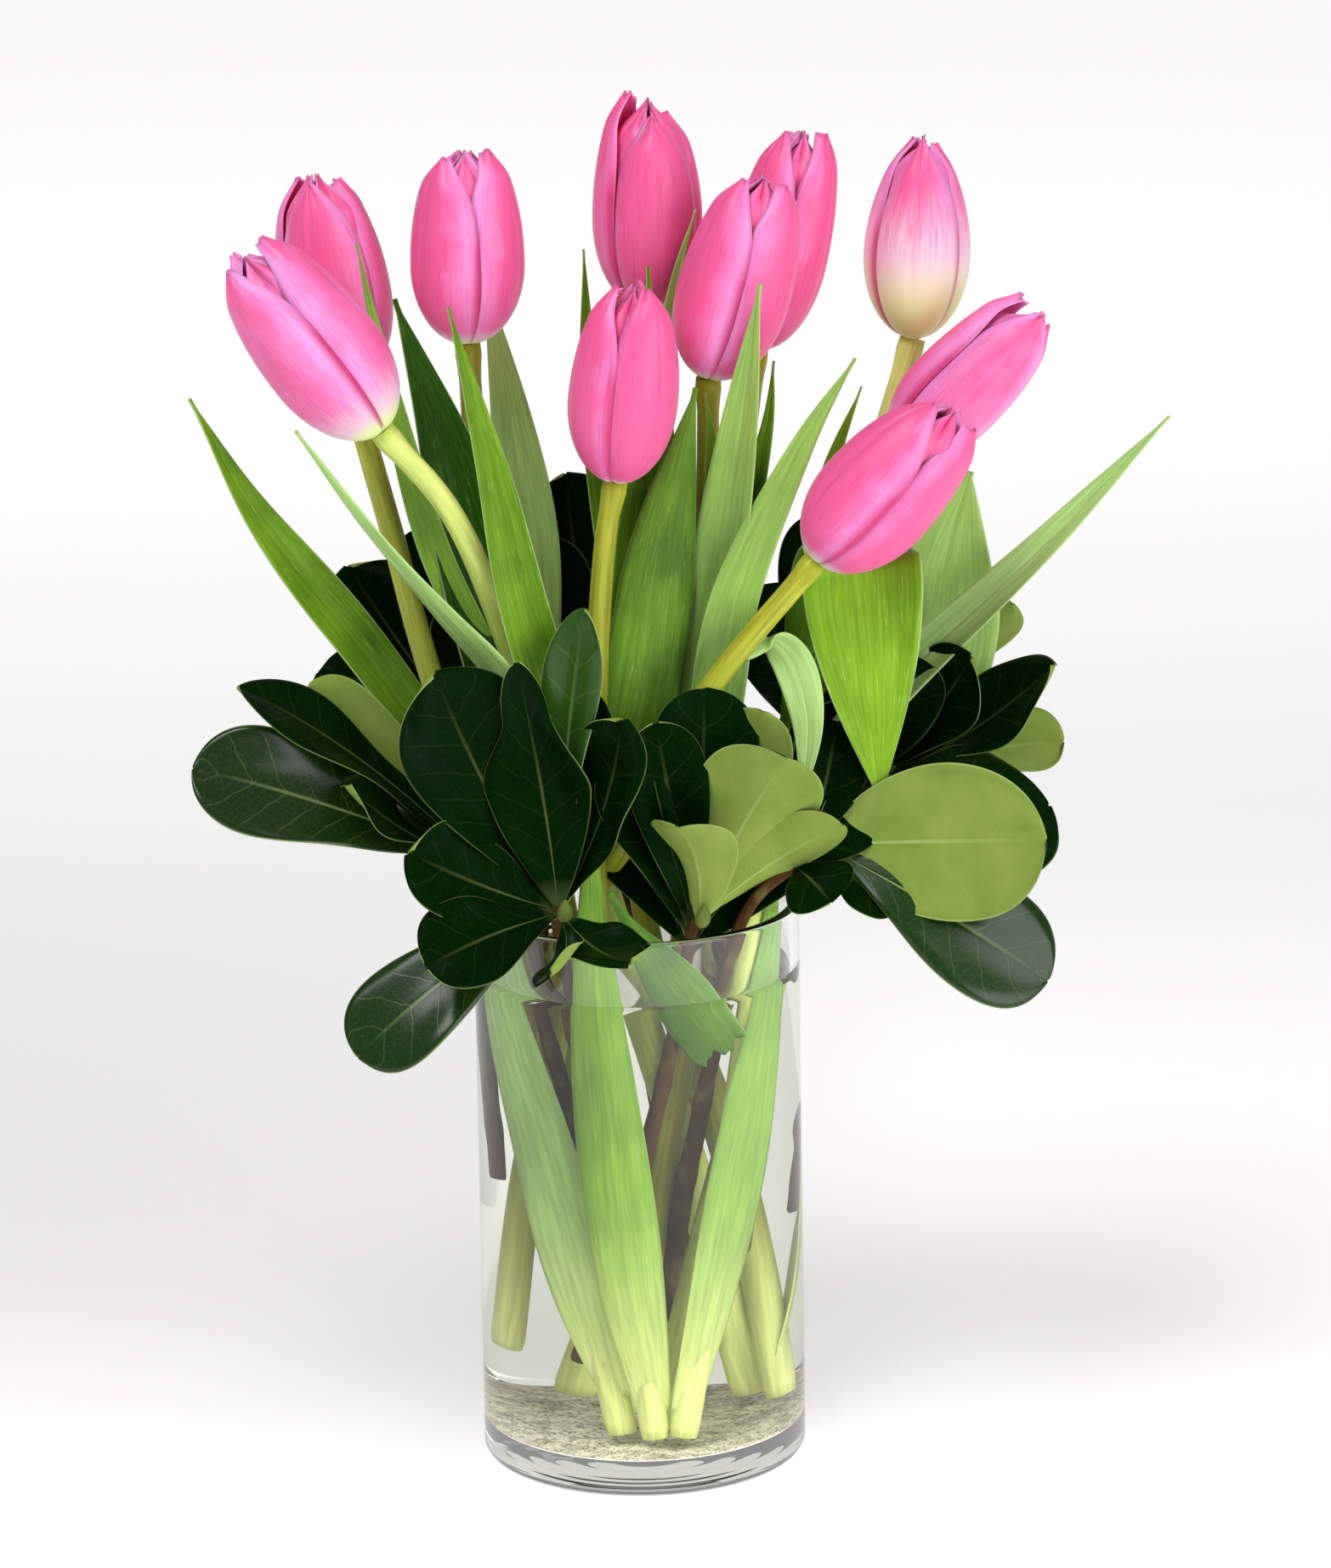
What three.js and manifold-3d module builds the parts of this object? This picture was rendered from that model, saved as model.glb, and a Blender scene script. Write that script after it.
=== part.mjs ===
// Tulips and leathery evergreen foliage in a clear glass cylinder vase.
// Units are millimetres. +Z is up, the front is -Y, and the origin is the middle of the vase's foot.
import * as THREE from 'three';
import { mergeVertices } from 'three/addons/utils/BufferGeometryUtils.js';
import Module from 'manifold-3d';

const wasm = await Module();
wasm.setup();

// ---------------------------------------------------------------- driving dimensions

const VASE_DIAMETER = 102;
const VASE_HEIGHT = 182.4;
const VASE_WALL = 3;
const VASE_FLOOR = 11.5;
const FOOT_ROUNDING = 4;
const WATER_LEVEL = 159.5;
const SILT_THICKNESS = 0.9;
const GAP = 0.3;

const STEM_FOOT_RADIUS = 4.3;
const STEM_NECK_RADIUS = 3.4;
const WOOD_FOOT_RADIUS = 2.9;
const WOOD_TIP_RADIUS = 1.7;

const TULIP_LEAF_THICKNESS = 1.0;
const FOLIAGE_LEAF_THICKNESS = 0.8;
const PETAL_THICKNESS = 0.9;
const INNER_PETAL_INSET = 5.5;
const BLOOM_CLEARANCE = 0.4;

// Foliage leaves sit one below another from just under the twig's tip.
const TOP_LEAF_DROP = 1.5;
const LEAF_SPACING = 2;
const STALK_START = 0.5;
const STALK_HALF_WIDTH = 0.9;

const VASE_SIDES = 32;
const STEM_SIDES = 6;
const TULIP_STEM_STEPS = 7;
const TWIG_STEPS = 5;
const CORE_SIDES = 6;
const LEAF_COLUMNS = 2;
const TULIP_LEAF_ROWS = 6;
const FOLDED_LEAF_ROWS = 8;
const FOLIAGE_LEAF_ROWS = 4;
const OUTER_PETAL = { columns: 3, rows: 4 };
const INNER_PETAL = { columns: 2, rows: 3 };

const UP = new THREE.Vector3(0, 0, 1);
const SIDEWAYS = new THREE.Vector3(1, 0, 0);

// ---------------------------------------------------------------- layout, chosen by hand
// stem: points from the cut foot up to the bloom. bloom: where its tip is, its radius and how far
// it is turned. leaves: points from the stem out to the tip, full width, the way the inner face looks
// (or, on a leaf that folds over, the way to its left edge), and fold, how far the edges stand up from
// the midrib as a part of the half width.

const TULIPS = [
  {
    stem: [[22, 18, 16], [10, 7, 100], [-8, -3, 182], [-31, -21, 250], [-52, -29, 310], [-75, -30, 341]],
    bloom: { tip: [-116, -31, 397], radius: 18.6, turn: 20, close: 0.3 },
    leaves: [
      { points: [[-20, -13, 218], [-40, -30, 259], [-58, -35, 283], [-81, -37, 313], [-101, -36, 343]],
        width: 17, face: [0.6, 0.5, 0.6], fold: 0.25 },
    ],
  },
  {
    stem: [[-6, -27, 16], [-22, -19, 100], [-40, -7, 182], [-63, 2, 256], [-74, 7, 300], [-86, 14, 345]],
    bloom: { tip: [-95, 10, 411], radius: 17.6, turn: 75, close: 0.3 },
    leaves: [
      { points: [[-8, -28, 28], [-18, -28, 65], [-28, -25, 110], [-38, -18, 150], [-45, -15, 186], [-52, -13, 215]],
        width: 19, face: [0.7, 0.7, 0.2], fold: 0.3 },
      { points: [[-50, -4, 210], [-64, -9, 236], [-84, -12, 267], [-114, -17, 310], [-134, -18, 349]],
        width: 18, face: [0.5, -0.8, 0.5], fold: 0.35 },
    ],
  },
  {
    stem: [[-2, 40, 16], [-13, 30, 100], [-24, 18, 182], [-36, 10, 250], [-46, 6, 310], [-49, 4, 360]],
    bloom: { tip: [-49, 4, 420], radius: 18, turn: 30, close: 0.3 },
    leaves: [
      { points: [[-32, 12, 230], [-47, -6, 266], [-61, -11, 300], [-72, -13, 345], [-82, -13, 396]],
        width: 10, face: [0.2, -1, 0.1], fold: 0.2 },
      { points: [[-29, 14, 208], [-39, -3, 256], [-48, -5, 294], [-58, -5, 334], [-71, -4, 376]],
        width: 28, face: [0.3, -1, 0.2], fold: 0.3 },
      { points: [[-30, 16, 215], [-32, 27, 255], [-32, 30, 290], [-36, 31, 325], [-44, 32, 375]],
        width: 20, face: [0.2, 1, 0.2], fold: 0.25 },
    ],
  },
  {
    stem: [[31, 8, 16], [18, 15, 100], [1, 18, 182], [0, 22, 250], [4, 24, 310], [7, 24, 365]],
    bloom: { tip: [8, 26, 429], radius: 17, turn: 100, close: 0.35 },
    leaves: [
      { points: [[30, 9, 30], [35, 12, 60], [40, 17, 120], [41, 20, 170], [45, 25, 215]],
        width: 17, face: [-0.9, -0.4, 0], fold: 0.2 },
      { points: [[1, 21, 222], [4, 12, 275], [8, 8, 320], [15, 8, 374], [22, 8, 400]],
        width: 12, face: [0, -1, 0.2], fold: 0.2 },
      { points: [[0, 22, 240], [-8, 33, 300], [-12, 38, 340], [-13, 42, 380]],
        width: 10, face: [0.3, -1, 0.2], fold: 0.2 },
    ],
  },
  {
    stem: [[3, -33, 16], [-5, -30, 100], [-12, -28, 182], [-11, -28, 255], [-8, -27, 300], [-4, -26, 323]],
    bloom: { tip: [3, -30, 385], radius: 16.8, turn: 32, close: 0.35 },
    leaves: [
      { points: [[3, -34, 24], [-3, -41, 66], [-9, -42, 120], [-13, -40, 172], [-14, -38, 225]],
        width: 21, face: [0, 1, 0.1], fold: 0.3 },
      { points: [[-13, -28, 205], [-24, -33, 249], [-34, -36, 290], [-42, -34, 330], [-54, -28, 379]],
        width: 18, face: [0.3, -1, 0.3], fold: 0.25 },
      { points: [[-12, -28, 212], [-1, -25, 236], [5, -22, 262], [11, -19, 301], [21, -14, 349]],
        width: 27, face: [-0.2, 1, 0.3], fold: 0.3 },
    ],
  },
  {
    stem: [[-5, 2, 16], [5, -3, 100], [16, -2, 182], [21, 3, 250], [24, 3, 310], [25, -1, 349]],
    bloom: { tip: [43, -5, 412], radius: 17.8, turn: 10, close: 0.25 },
    leaves: [
      { points: [[16, -1, 208], [4, -5, 255], [5, -5, 300], [8, -5, 340], [7, -4, 385]],
        width: 20, face: [0, -1, 0.1], fold: 0.25 },
      { points: [[19, 0, 225], [24, -8, 275], [26, -9, 320], [24, -9, 346]],
        width: 11, face: [0.2, -1, 0], fold: 0.2 },
      { points: [[17, -1, 200], [22, -10, 244], [28, -14, 290], [35, -18, 338], [41, -25, 384]],
        width: 22, face: [-0.5, -1, 0.3], fold: 0.3 },
      { points: [[19, 0, 216], [29, -9, 265], [36, -12, 304], [43, -14, 337], [45, -14, 357]],
        width: 12, face: [-0.3, -1, 0.2], fold: 0.3 },
      { points: [[18, -1, 206], [25, -16, 240], [33, -24, 286], [53, -22, 331], [70, -16, 358]],
        width: 17, face: [-0.3, -1, 0.4], fold: 0.2 },
    ],
  },
  {
    stem: [[-14, 22, 16], [4, 25, 100], [22, 27, 182], [30, 28, 250], [35, 30, 310], [40, 32, 350]],
    bloom: { tip: [56, 34, 418], radius: 15.8, turn: 50, close: 0.3 },
    leaves: [],
  },
  {
    stem: [[11, -33, 16], [24, -25, 100], [36, -17, 182], [58, 6, 270], [78, 22, 320], [89, 30, 353]],
    bloom: { tip: [93, 30, 416], radius: 16.6, turn: 88, close: 0.45 },
    leaves: [
      { points: [[12, -33, 24], [22, -34, 66], [33, -29, 120], [41, -20, 172], [45, -17, 205]],
        width: 16, face: [-0.8, 0.6, 0.1], fold: 0.3 },
      { points: [[47, -7, 228], [54, -5, 270], [61, -4, 315], [72, -4, 346]],
        width: 10, face: [-0.3, -1, 0.2], fold: 0.2 },
      { points: [[42, -12, 205], [64, -10, 232], [87, -5, 256], [128, -2, 294], [167, 0, 334]],
        width: 13, face: [-0.4, -0.6, 0.7], fold: 0.35 },
      { points: [[55, -2, 252], [62, -12, 272], [70, -21, 294], [72, -26, 276], [76, -30, 220]],
        width: 37, side: [-1, 0, 0.1], fold: 0.15, widest: 0.42 },
    ],
  },
  {
    stem: [[4, -20, 16], [21, -6, 100], [38, 8, 182], [60, 8, 250], [75, 3, 295], [83, 4, 323]],
    bloom: { tip: [127, 4, 367], radius: 15.6, turn: 70, close: 0.3 },
    leaves: [
      { points: [[47, 9, 210], [70, 15, 228], [92, 18, 248], [98, 16, 285], [106, 13, 314]],
        width: 33, face: [0, -1, 0.2], fold: 0.12, widest: 0.6 },
    ],
  },
  {
    stem: [[-31, 8, 34], [-26, 0, 100], [-14, -14, 182], [-1, -31, 212], [22, -34, 256], [57, -34, 299]],
    bloom: { tip: [99, -38, 346], radius: 18.6, turn: 15, close: 0.3 },
    leaves: [
      { points: [[34, -31, 269], [42, -26, 272], [50, -27, 264], [54, -30, 246], [52, -33, 222]],
        width: 12, side: [-1, 0.3, 0], fold: 0.15 },
    ],
  },
];

// stem: points from the cut end up to the heart of the whorl. Each leaf has its tip, its full width,
// the way its glossy upper face looks and its arch, how far its middle bows towards that face. The
// leaves are listed from the twig's tip downwards.

const SPRAYS = [
  {
    stem: [[10, -6, 36], [-10, -20, 110], [-24, -35, 182], [-22, -52, 192]],
    leaves: [
      { tip: [-26, -86, 184], width: 21, face: [-0.7, 0, 0.8], arch: -4 },
      { tip: [-9, -80, 170], width: 28, face: [0.3, -0.5, 0.8], arch: 6 },
      { tip: [-62, -74, 186], width: 29, face: [0.1, -0.8, 0.7], arch: 5 },
      { tip: [-24, -66, 254], width: 36, face: [0, -1, 0.3], arch: -6 },
      { tip: [-68, -62, 213], width: 26, face: [0.1, -0.9, 0.6], arch: -4 },
      { tip: [-86, -64, 146], width: 33, face: [-0.3, -0.8, 0.6], arch: 7 },
      { tip: [-58, -54, 270], width: 38, face: [0.5, -0.8, 0.3], arch: -6 },
      { tip: [-4, -58, 252], width: 22, face: [-0.9, -0.6, 0.1], arch: -4 },
      { tip: [-38, -56, 272], width: 20, face: [0.7, -0.8, 0.1], arch: -3 },
      { tip: [-15, -52, 283], width: 20, face: [-0.5, -0.9, 0], arch: 3 },
    ],
  },
  {
    stem: [[-4, -8, 62], [-18, -16, 120], [-35, -24, 183], [-51, -33, 206]],
    leaves: [
      { tip: [-112, -32, 244], width: 25, face: [0.4, -0.5, 0.8], arch: -4 },
      { tip: [-136, -44, 236], width: 30, face: [0.3, -0.7, 0.7], arch: 6 },
      { tip: [-88, -56, 235], width: 16, face: [0.7, -0.2, 0.8], arch: -3 },
      { tip: [-121, -38, 255], width: 24, face: [0.2, -0.3, 0.9], arch: 8 },
      { tip: [-100, -22, 258], width: 24, face: [-0.2, 0.9, 0.4], arch: 5 },
      { tip: [-120, -12, 226], width: 26, face: [-0.4, 0.7, 0.6], arch: 5 },
    ],
  },
  {
    stem: [[-16, -12, 36], [2, -25, 110], [16, -36, 177], [20, -45, 187]],
    leaves: [
      { tip: [12, -62, 220], width: 28, face: [0.2, 0.9, 0.3], arch: 5 },
      { tip: [47, -58, 242], width: 42, face: [-0.3, 0.9, 0.2], arch: 6 },
      { tip: [65, -52, 208], width: 27, face: [0, 0.9, 0.5], arch: 5 },
      { tip: [42, -42, 250], width: 25, face: [-0.2, 0.9, 0.1], arch: 5 },
      { tip: [22, -38, 258], width: 32, face: [0.2, -1, 0.2], arch: 5 },
    ],
  },
  {
    stem: [[4, 10, 36], [12, -9, 100], [33, -33, 184], [62, -26, 207]],
    leaves: [
      { tip: [125, -46, 212], width: 49, face: [0.3, 0.9, -0.2], arch: 5 },
      { tip: [127, -50, 165], width: 36, face: [0.2, -0.8, 0.6], arch: 8 },
      { tip: [131, -16, 215], width: 38, face: [0.5, -0.5, 0.7], arch: 8 },
      { tip: [80, -38, 187], width: 20, face: [-0.3, -0.3, 0.9], arch: 2 },
      { tip: [100, 2, 198], width: 30, face: [0.2, 0.3, 0.9], arch: 6 },
    ],
  },
  {
    stem: [[26, -16, 72], [34, -12, 125], [43, -7, 185], [78, 0, 222]],
    leaves: [
      { tip: [105, -14, 262], width: 28, face: [-0.5, -0.8, 0.3], arch: -4 },
      { tip: [132, -4, 256], width: 27, face: [-0.2, -0.6, 0.8], arch: -6 },
      { tip: [134, 4, 229], width: 24, face: [0.2, 0.9, 0.4], arch: 5 },
      { tip: [68, 4, 250], width: 24, face: [0.2, -1, 0.2], arch: 4 },
      { tip: [128, 22, 220], width: 28, face: [0.3, 0.5, 0.8], arch: 6 },
    ],
  },
  {
    stem: [[-36, -2, 92], [-34, 13, 137], [-31, 29, 184], [-56, 34, 232]],
    leaves: [
      { tip: [-88, 24, 284], width: 34, face: [0.3, -0.9, 0.3], arch: -4 },
      { tip: [-99, 40, 245], width: 29, face: [0.3, -0.7, 0.7], arch: 5 },
      { tip: [-64, 44, 291], width: 30, face: [0.1, -1, 0.1], arch: 4 },
      { tip: [-104, 48, 220], width: 30, face: [-0.2, 0.3, 0.9], arch: 8 },
      { tip: [-64, 84, 250], width: 30, face: [-0.2, 0.5, 0.9], arch: 7 },
    ],
  },
  {
    stem: [[10, 36, 62], [3, 36, 120], [-4, 37, 184], [-12, 46, 240]],
    leaves: [
      { tip: [-20, 42, 308], width: 33, face: [0.2, -0.9, 0.3], arch: -4 },
      { tip: [-42, 64, 284], width: 31, face: [0.5, -0.8, 0.3], arch: 4 },
      { tip: [12, 60, 295], width: 31, face: [-0.3, -0.9, 0.3], arch: 4 },
      { tip: [-34, 94, 250], width: 32, face: [-0.1, 0.4, 0.9], arch: 7 },
      { tip: [10, 94, 242], width: 32, face: [0.1, 0.4, 0.9], arch: 7 },
    ],
  },
  {
    stem: [[30, 24, 72], [30, 28, 125], [28, 33, 184], [64, 40, 226]],
    leaves: [
      { tip: [119, 26, 268], width: 33, face: [-0.2, 0.9, 0.4], arch: 5 },
      { tip: [94, 46, 279], width: 30, face: [-0.2, -0.9, 0.3], arch: -4 },
      { tip: [62, 50, 292], width: 31, face: [-0.1, -0.9, 0.2], arch: 4 },
      { tip: [112, 68, 230], width: 32, face: [0.3, 0.4, 0.9], arch: 7 },
      { tip: [60, 94, 238], width: 32, face: [0.1, 0.5, 0.9], arch: 7 },
    ],
  },
];

const LOOSE_STRIP = {
  points: [[-8, -45, 197], [-1, -44, 184], [8, -41, 170], [16, -38, 157], [24, -33, 142]],
  width: 19, face: [-0.1, 0.95, 0.2],
};

// ---------------------------------------------------------------- curves and small helpers

const vector = ([x, y, z]) => new THREE.Vector3(x, y, z);
const smooth = (x) => THREE.MathUtils.smoothstep(x, 0, 1);

function curveThrough(points) {
  return new THREE.CatmullRomCurve3(points.map(vector), false, 'catmullrom', 0.5);
}

// A closed body from rings of points: side walls, and a strip across each end. The first half of a
// ring is one face and the second half is the other, and both are split along the same diagonals.
function loft(rings) {
  const count = rings[0].length;
  const positions = rings.flat().flatMap((p) => [p.x, p.y, p.z]);
  const index = [];
  for (let k = 0; k < rings.length - 1; k += 1) {
    for (let i = 0; i < count; i += 1) {
      const a = k * count + i;
      const b = k * count + (i + 1) % count;
      const c = a + count;
      const d = b + count;
      if (i < count / 2) index.push(a, b, d, a, d, c);
      else index.push(a, b, c, b, d, c);
    }
  }
  const last = (rings.length - 1) * count;
  for (let i = 0; i < count / 2 - 1; i += 1) {
    const j = count - 1 - i;
    index.push(i, j, i + 1, i + 1, j, j - 1);
    index.push(last + i, last + i + 1, last + j, last + i + 1, last + j - 1, last + j);
  }
  const geometry = new THREE.BufferGeometry();
  geometry.setAttribute('position', new THREE.Float32BufferAttribute(positions, 3));
  geometry.setIndex(index);
  return geometry;
}

// A round stem along a curve, its radius going from the foot's to the tip's. spacing turns even
// steps along it into uneven ones. No stem runs along X, so X sets how its rings are turned.
function stemBody(curve, footRadius, tipRadius, steps, grow = 0, spacing = (t) => t) {
  const rings = [];
  for (let k = 0; k <= steps; k += 1) {
    const t = spacing(k / steps);
    const radius = THREE.MathUtils.lerp(footRadius, tipRadius, t) + grow;
    const along = curve.getTangentAt(t);
    const back = new THREE.Vector3().crossVectors(along, SIDEWAYS).normalize();
    const side = new THREE.Vector3().crossVectors(back, along);
    const centre = curve.getPointAt(t);
    if (k === 0) centre.addScaledVector(along, -grow);
    if (k === steps) centre.addScaledVector(along, grow);
    const ring = [];
    for (let i = 0; i < STEM_SIDES; i += 1) {
      const angle = 2 * Math.PI * i / STEM_SIDES;
      ring.push(centre.clone()
        .addScaledVector(side, radius * Math.cos(angle))
        .addScaledVector(back, radius * Math.sin(angle)));
    }
    rings.push(ring);
  }
  return solid(loft(rings));
}

// A thin blade of even thickness on both sides of a surface given by surface(u, v), where u runs
// from -1 to 1 across and v from 0 to 1 along. grow makes it that much thicker and wider all round,
// and spacing turns even steps along it into uneven ones.
function blade(surface, across, along, thickness, grow = 0, spacing = (t) => t) {
  const step = 1e-3;
  const rings = [];
  for (let k = 0; k <= along; k += 1) {
    const v = spacing(k / along);
    const upper = [];
    const lower = [];
    for (let i = 0; i <= across; i += 1) {
      const u = -1 + 2 * i / across;
      const point = surface(u, v);
      const du = surface(u + step, v).sub(surface(u - step, v));
      const dv = surface(u, Math.min(v + step, 1)).sub(surface(u, Math.max(v - step, 0)));
      const normal = new THREE.Vector3().crossVectors(du, dv).normalize();
      if (i === 0) point.addScaledVector(du.clone().normalize(), -grow);
      if (i === across) point.addScaledVector(du.clone().normalize(), grow);
      if (k === 0) point.addScaledVector(dv.clone().normalize(), -grow);
      if (k === along) point.addScaledVector(dv.clone().normalize(), grow);
      const half = thickness / 2 + grow;
      upper.push(point.clone().addScaledVector(normal, half));
      lower.unshift(point.clone().addScaledVector(normal, -half));
    }
    rings.push([...upper, ...lower]);
  }
  return solid(loft(rings));
}

const closerAtTip = (t) => Math.sin(Math.PI / 2 * t);
const closerAtBase = (t) => t ** 1.3;

function solid(geometry) {
  const bare = geometry.clone();
  bare.deleteAttribute('normal');
  bare.deleteAttribute('uv');
  const merged = mergeVertices(bare, 1e-4);
  const mesh = new wasm.Mesh({
    numProp: 3,
    vertProperties: new Float32Array(merged.attributes.position.array),
    triVerts: new Uint32Array(merged.index.array),
  });
  return new wasm.Manifold(mesh);
}

function geometryOf(body) {
  const mesh = body.getMesh();
  const geometry = new THREE.BufferGeometry();
  geometry.setAttribute('position', new THREE.BufferAttribute(new Float32Array(mesh.vertProperties), 3));
  geometry.setIndex(new THREE.BufferAttribute(new Uint32Array(mesh.triVerts), 1));
  geometry.computeVertexNormals();
  return geometry;
}

const fuse = (bodies) => bodies.reduce((whole, body) => whole.add(body));

// Drops the loose scraps that a cut leaves and keeps the largest piece.
function largestPiece(body) {
  const pieces = body.decompose();
  return pieces.reduce((best, piece) => (piece.volume() > best.volume() ? piece : best));
}

// ---------------------------------------------------------------- leaves and petals as surfaces

// Axes of a leaf at one point of its spine, the way across and the inner face's normal, from either
// the way that its inner face looks or the way to its side.
function leafAxes(curve, t, { face, side }) {
  const along = curve.getTangentAt(t);
  const across = side ? vector(side) : new THREE.Vector3().crossVectors(along, vector(face));
  across.addScaledVector(along, -across.dot(along)).normalize();
  const normal = new THREE.Vector3().crossVectors(across, along).normalize();
  return { across, normal };
}

// Tulip leaf: a long lance, widening over its lower part by a sine and closing to its point by a
// cosine. Its edges stand up towards the inner face by fold times the half width, with a slow wave.
function tulipLeafSurface({ points, width, face, side, fold, widest = 0.35 }) {
  const curve = curveThrough(points);
  const tipWidth = 0.06;
  return (u, v) => {
    const rise = 0.45 + 0.55 * Math.sin(Math.PI / 2 * Math.min(v / widest, 1));
    const taper = Math.cos(Math.PI / 2 * Math.max(v - widest, 0) / (1 - widest));
    const half = width / 2 * Math.max(rise * taper, tipWidth);
    const { across, normal } = leafAxes(curve, v, { face, side });
    const wave = 0.05 * width * Math.sin(3 * Math.PI * v + 1.5 * u) * u * u;
    return curve.getPointAt(v)
      .addScaledVector(across, u * half)
      .addScaledVector(normal, fold * half * u * u + wave * taper);
  };
}

// Foliage leaf: a blunt paddle on a short stalk, widest seven tenths of the way out, bowed by its arch.
function foliageLeafSurface(base, { tip, width, face, arch }) {
  const end = vector(tip);
  const start = base.clone().lerp(end, STALK_START / base.distanceTo(end));
  const bow = start.clone().lerp(end, 0.5).addScaledVector(vector(face).normalize(), 2 * arch);
  const curve = new THREE.QuadraticBezierCurve3(start, bow, end);
  const peak = 0.573;
  return (u, v) => {
    const paddle = v ** 0.9 * Math.max(1 - v ** 3, 0) ** 0.55 / peak;
    const half = Math.max(width / 2 * paddle, STALK_HALF_WIDTH);
    const { across, normal } = leafAxes(curve, v, { face });
    const wave = 0.02 * width * Math.sin(2.4 * Math.PI * v + u) * u * u;
    return curve.getPoint(v)
      .addScaledVector(across, u * half)
      .addScaledVector(normal, 0.18 * half * u * u + wave);
  };
}

// Petal of a closed cup: a quarter ellipse out from the base to the widest level, then closing in to
// its tip. One edge lies a little outside its neighbour and the other a little inside.
function petalSurface({ radius, length, close, turn, halfAngle, lap }) {
  const widestAt = 0.45;
  const start = 0.1;
  const shoulder = 0.42 * length;
  return (u, w) => {
    const v = start + (1 - start) * w;
    const lower = Math.min(v / widestAt, 1) * Math.PI / 2;
    const upper = Math.max(v - widestAt, 0) / (1 - widestAt);
    const fade = Math.max(1 - (Math.max(v - 0.5, 0) / 0.5) ** 2.4, 0) ** 0.75;
    const angle = turn + u * halfAngle * Math.max(fade, 0.06);
    const r = radius * (Math.sin(lower) - close * upper ** 2) + lap * u;
    const z = shoulder * (1 - Math.cos(lower)) + (length - shoulder) * upper;
    return new THREE.Vector3(r * Math.cos(angle), r * Math.sin(angle), z);
  };
}

// ---------------------------------------------------------------- pieces

function vase() {
  const outer = VASE_DIAMETER / 2;
  const inner = outer - VASE_WALL;
  const lip = VASE_WALL / 2;
  const rimTop = VASE_HEIGHT - lip;
  const profile = [new THREE.Vector2(0, 0), new THREE.Vector2(outer - FOOT_ROUNDING, 0)];
  for (const angle of [-60, -30, 0]) {
    const a = THREE.MathUtils.degToRad(angle);
    profile.push(new THREE.Vector2(
      outer - FOOT_ROUNDING + FOOT_ROUNDING * Math.cos(a),
      FOOT_ROUNDING + FOOT_ROUNDING * Math.sin(a),
    ));
  }
  for (const angle of [0, 60, 120, 180]) {
    const a = THREE.MathUtils.degToRad(angle);
    profile.push(new THREE.Vector2(outer - lip + lip * Math.cos(a), rimTop + lip * Math.sin(a)));
  }
  profile.push(new THREE.Vector2(inner, VASE_FLOOR), new THREE.Vector2(0, VASE_FLOOR));
  return solid(turned(profile));
}

// A profile turned round the Z axis.
function turned(profile) {
  const geometry = new THREE.LatheGeometry(profile, VASE_SIDES);
  geometry.rotateX(Math.PI / 2);
  return geometry;
}

function disc(radius, low, high) {
  const profile = [[0, low], [radius, low], [radius, high], [0, high]].map(([r, z]) => new THREE.Vector2(r, z));
  return solid(turned(profile));
}

function tulipStem({ stem, leaves }, grow = 0) {
  const bodies = [stemBody(curveThrough(stem), STEM_FOOT_RADIUS, STEM_NECK_RADIUS, TULIP_STEM_STEPS, grow)];
  for (const leaf of leaves) {
    const rows = leaf.side ? FOLDED_LEAF_ROWS : TULIP_LEAF_ROWS;
    bodies.push(blade(tulipLeafSurface(leaf), LEAF_COLUMNS, rows, TULIP_LEAF_THICKNESS, grow));
  }
  return fuse(bodies);
}

function bloom({ stem, bloom: { tip, radius, turn, close } }, grow = 0) {
  const foot = vector(stem.at(-1));
  const axis = vector(tip).sub(foot);
  const length = axis.length();
  axis.normalize();
  const bodies = [bloomCore(radius, grow)];
  for (let i = 0; i < 3; i += 1) {
    const angle = THREE.MathUtils.degToRad(turn + 120 * i);
    const outer = { radius, length: length * (0.96 + 0.03 * i), close, turn: angle, halfAngle: 1.08, lap: 1.2 };
    const inner = {
      radius: radius - INNER_PETAL_INSET,
      length: length * (1 - 0.03 * i),
      close,
      turn: angle + Math.PI / 3,
      halfAngle: 0.95,
      lap: 0.8,
    };
    for (const [petal, { columns, rows }] of [[outer, OUTER_PETAL], [inner, INNER_PETAL]]) {
      bodies.push(blade(petalSurface(petal), columns, rows, PETAL_THICKNESS, grow, closerAtBase));
    }
  }
  const whole = largestPiece(fuse(bodies));
  const placing = new THREE.Matrix4().compose(
    foot.addScaledVector(axis, BLOOM_CLEARANCE),
    new THREE.Quaternion().setFromUnitVectors(UP, axis),
    new THREE.Vector3(1, 1, 1),
  );
  return whole.transform(placing.elements);
}

// The small closed heart of a bloom, which holds the feet of its petals.
function bloomCore(radius, grow) {
  const levels = [[3.6, 0], [0.5 * radius, 1.5], [0.5 * radius, 6]];
  const rings = levels.map(([r, z]) => {
    const ring = [];
    for (let i = 0; i < CORE_SIDES; i += 1) {
      const angle = 2 * Math.PI * i / CORE_SIDES;
      ring.push(new THREE.Vector3((r + grow) * Math.cos(angle), (r + grow) * Math.sin(angle), z));
    }
    return ring;
  });
  return solid(loft(rings));
}

function spray({ stem, leaves }, grow = 0) {
  const curve = curveThrough(stem);
  const bodies = [stemBody(curve, WOOD_FOOT_RADIUS, WOOD_TIP_RADIUS, TWIG_STEPS, grow, closerAtTip)];
  leaves.forEach((leaf, i) => {
    const base = curve.getPointAt(1 - (TOP_LEAF_DROP + LEAF_SPACING * i) / curve.getLength());
    const surface = foliageLeafSurface(base, leaf);
    bodies.push(blade(surface, LEAF_COLUMNS, FOLIAGE_LEAF_ROWS, FOLIAGE_LEAF_THICKNESS, grow, closerAtTip));
  });
  return fuse(bodies);
}

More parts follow.
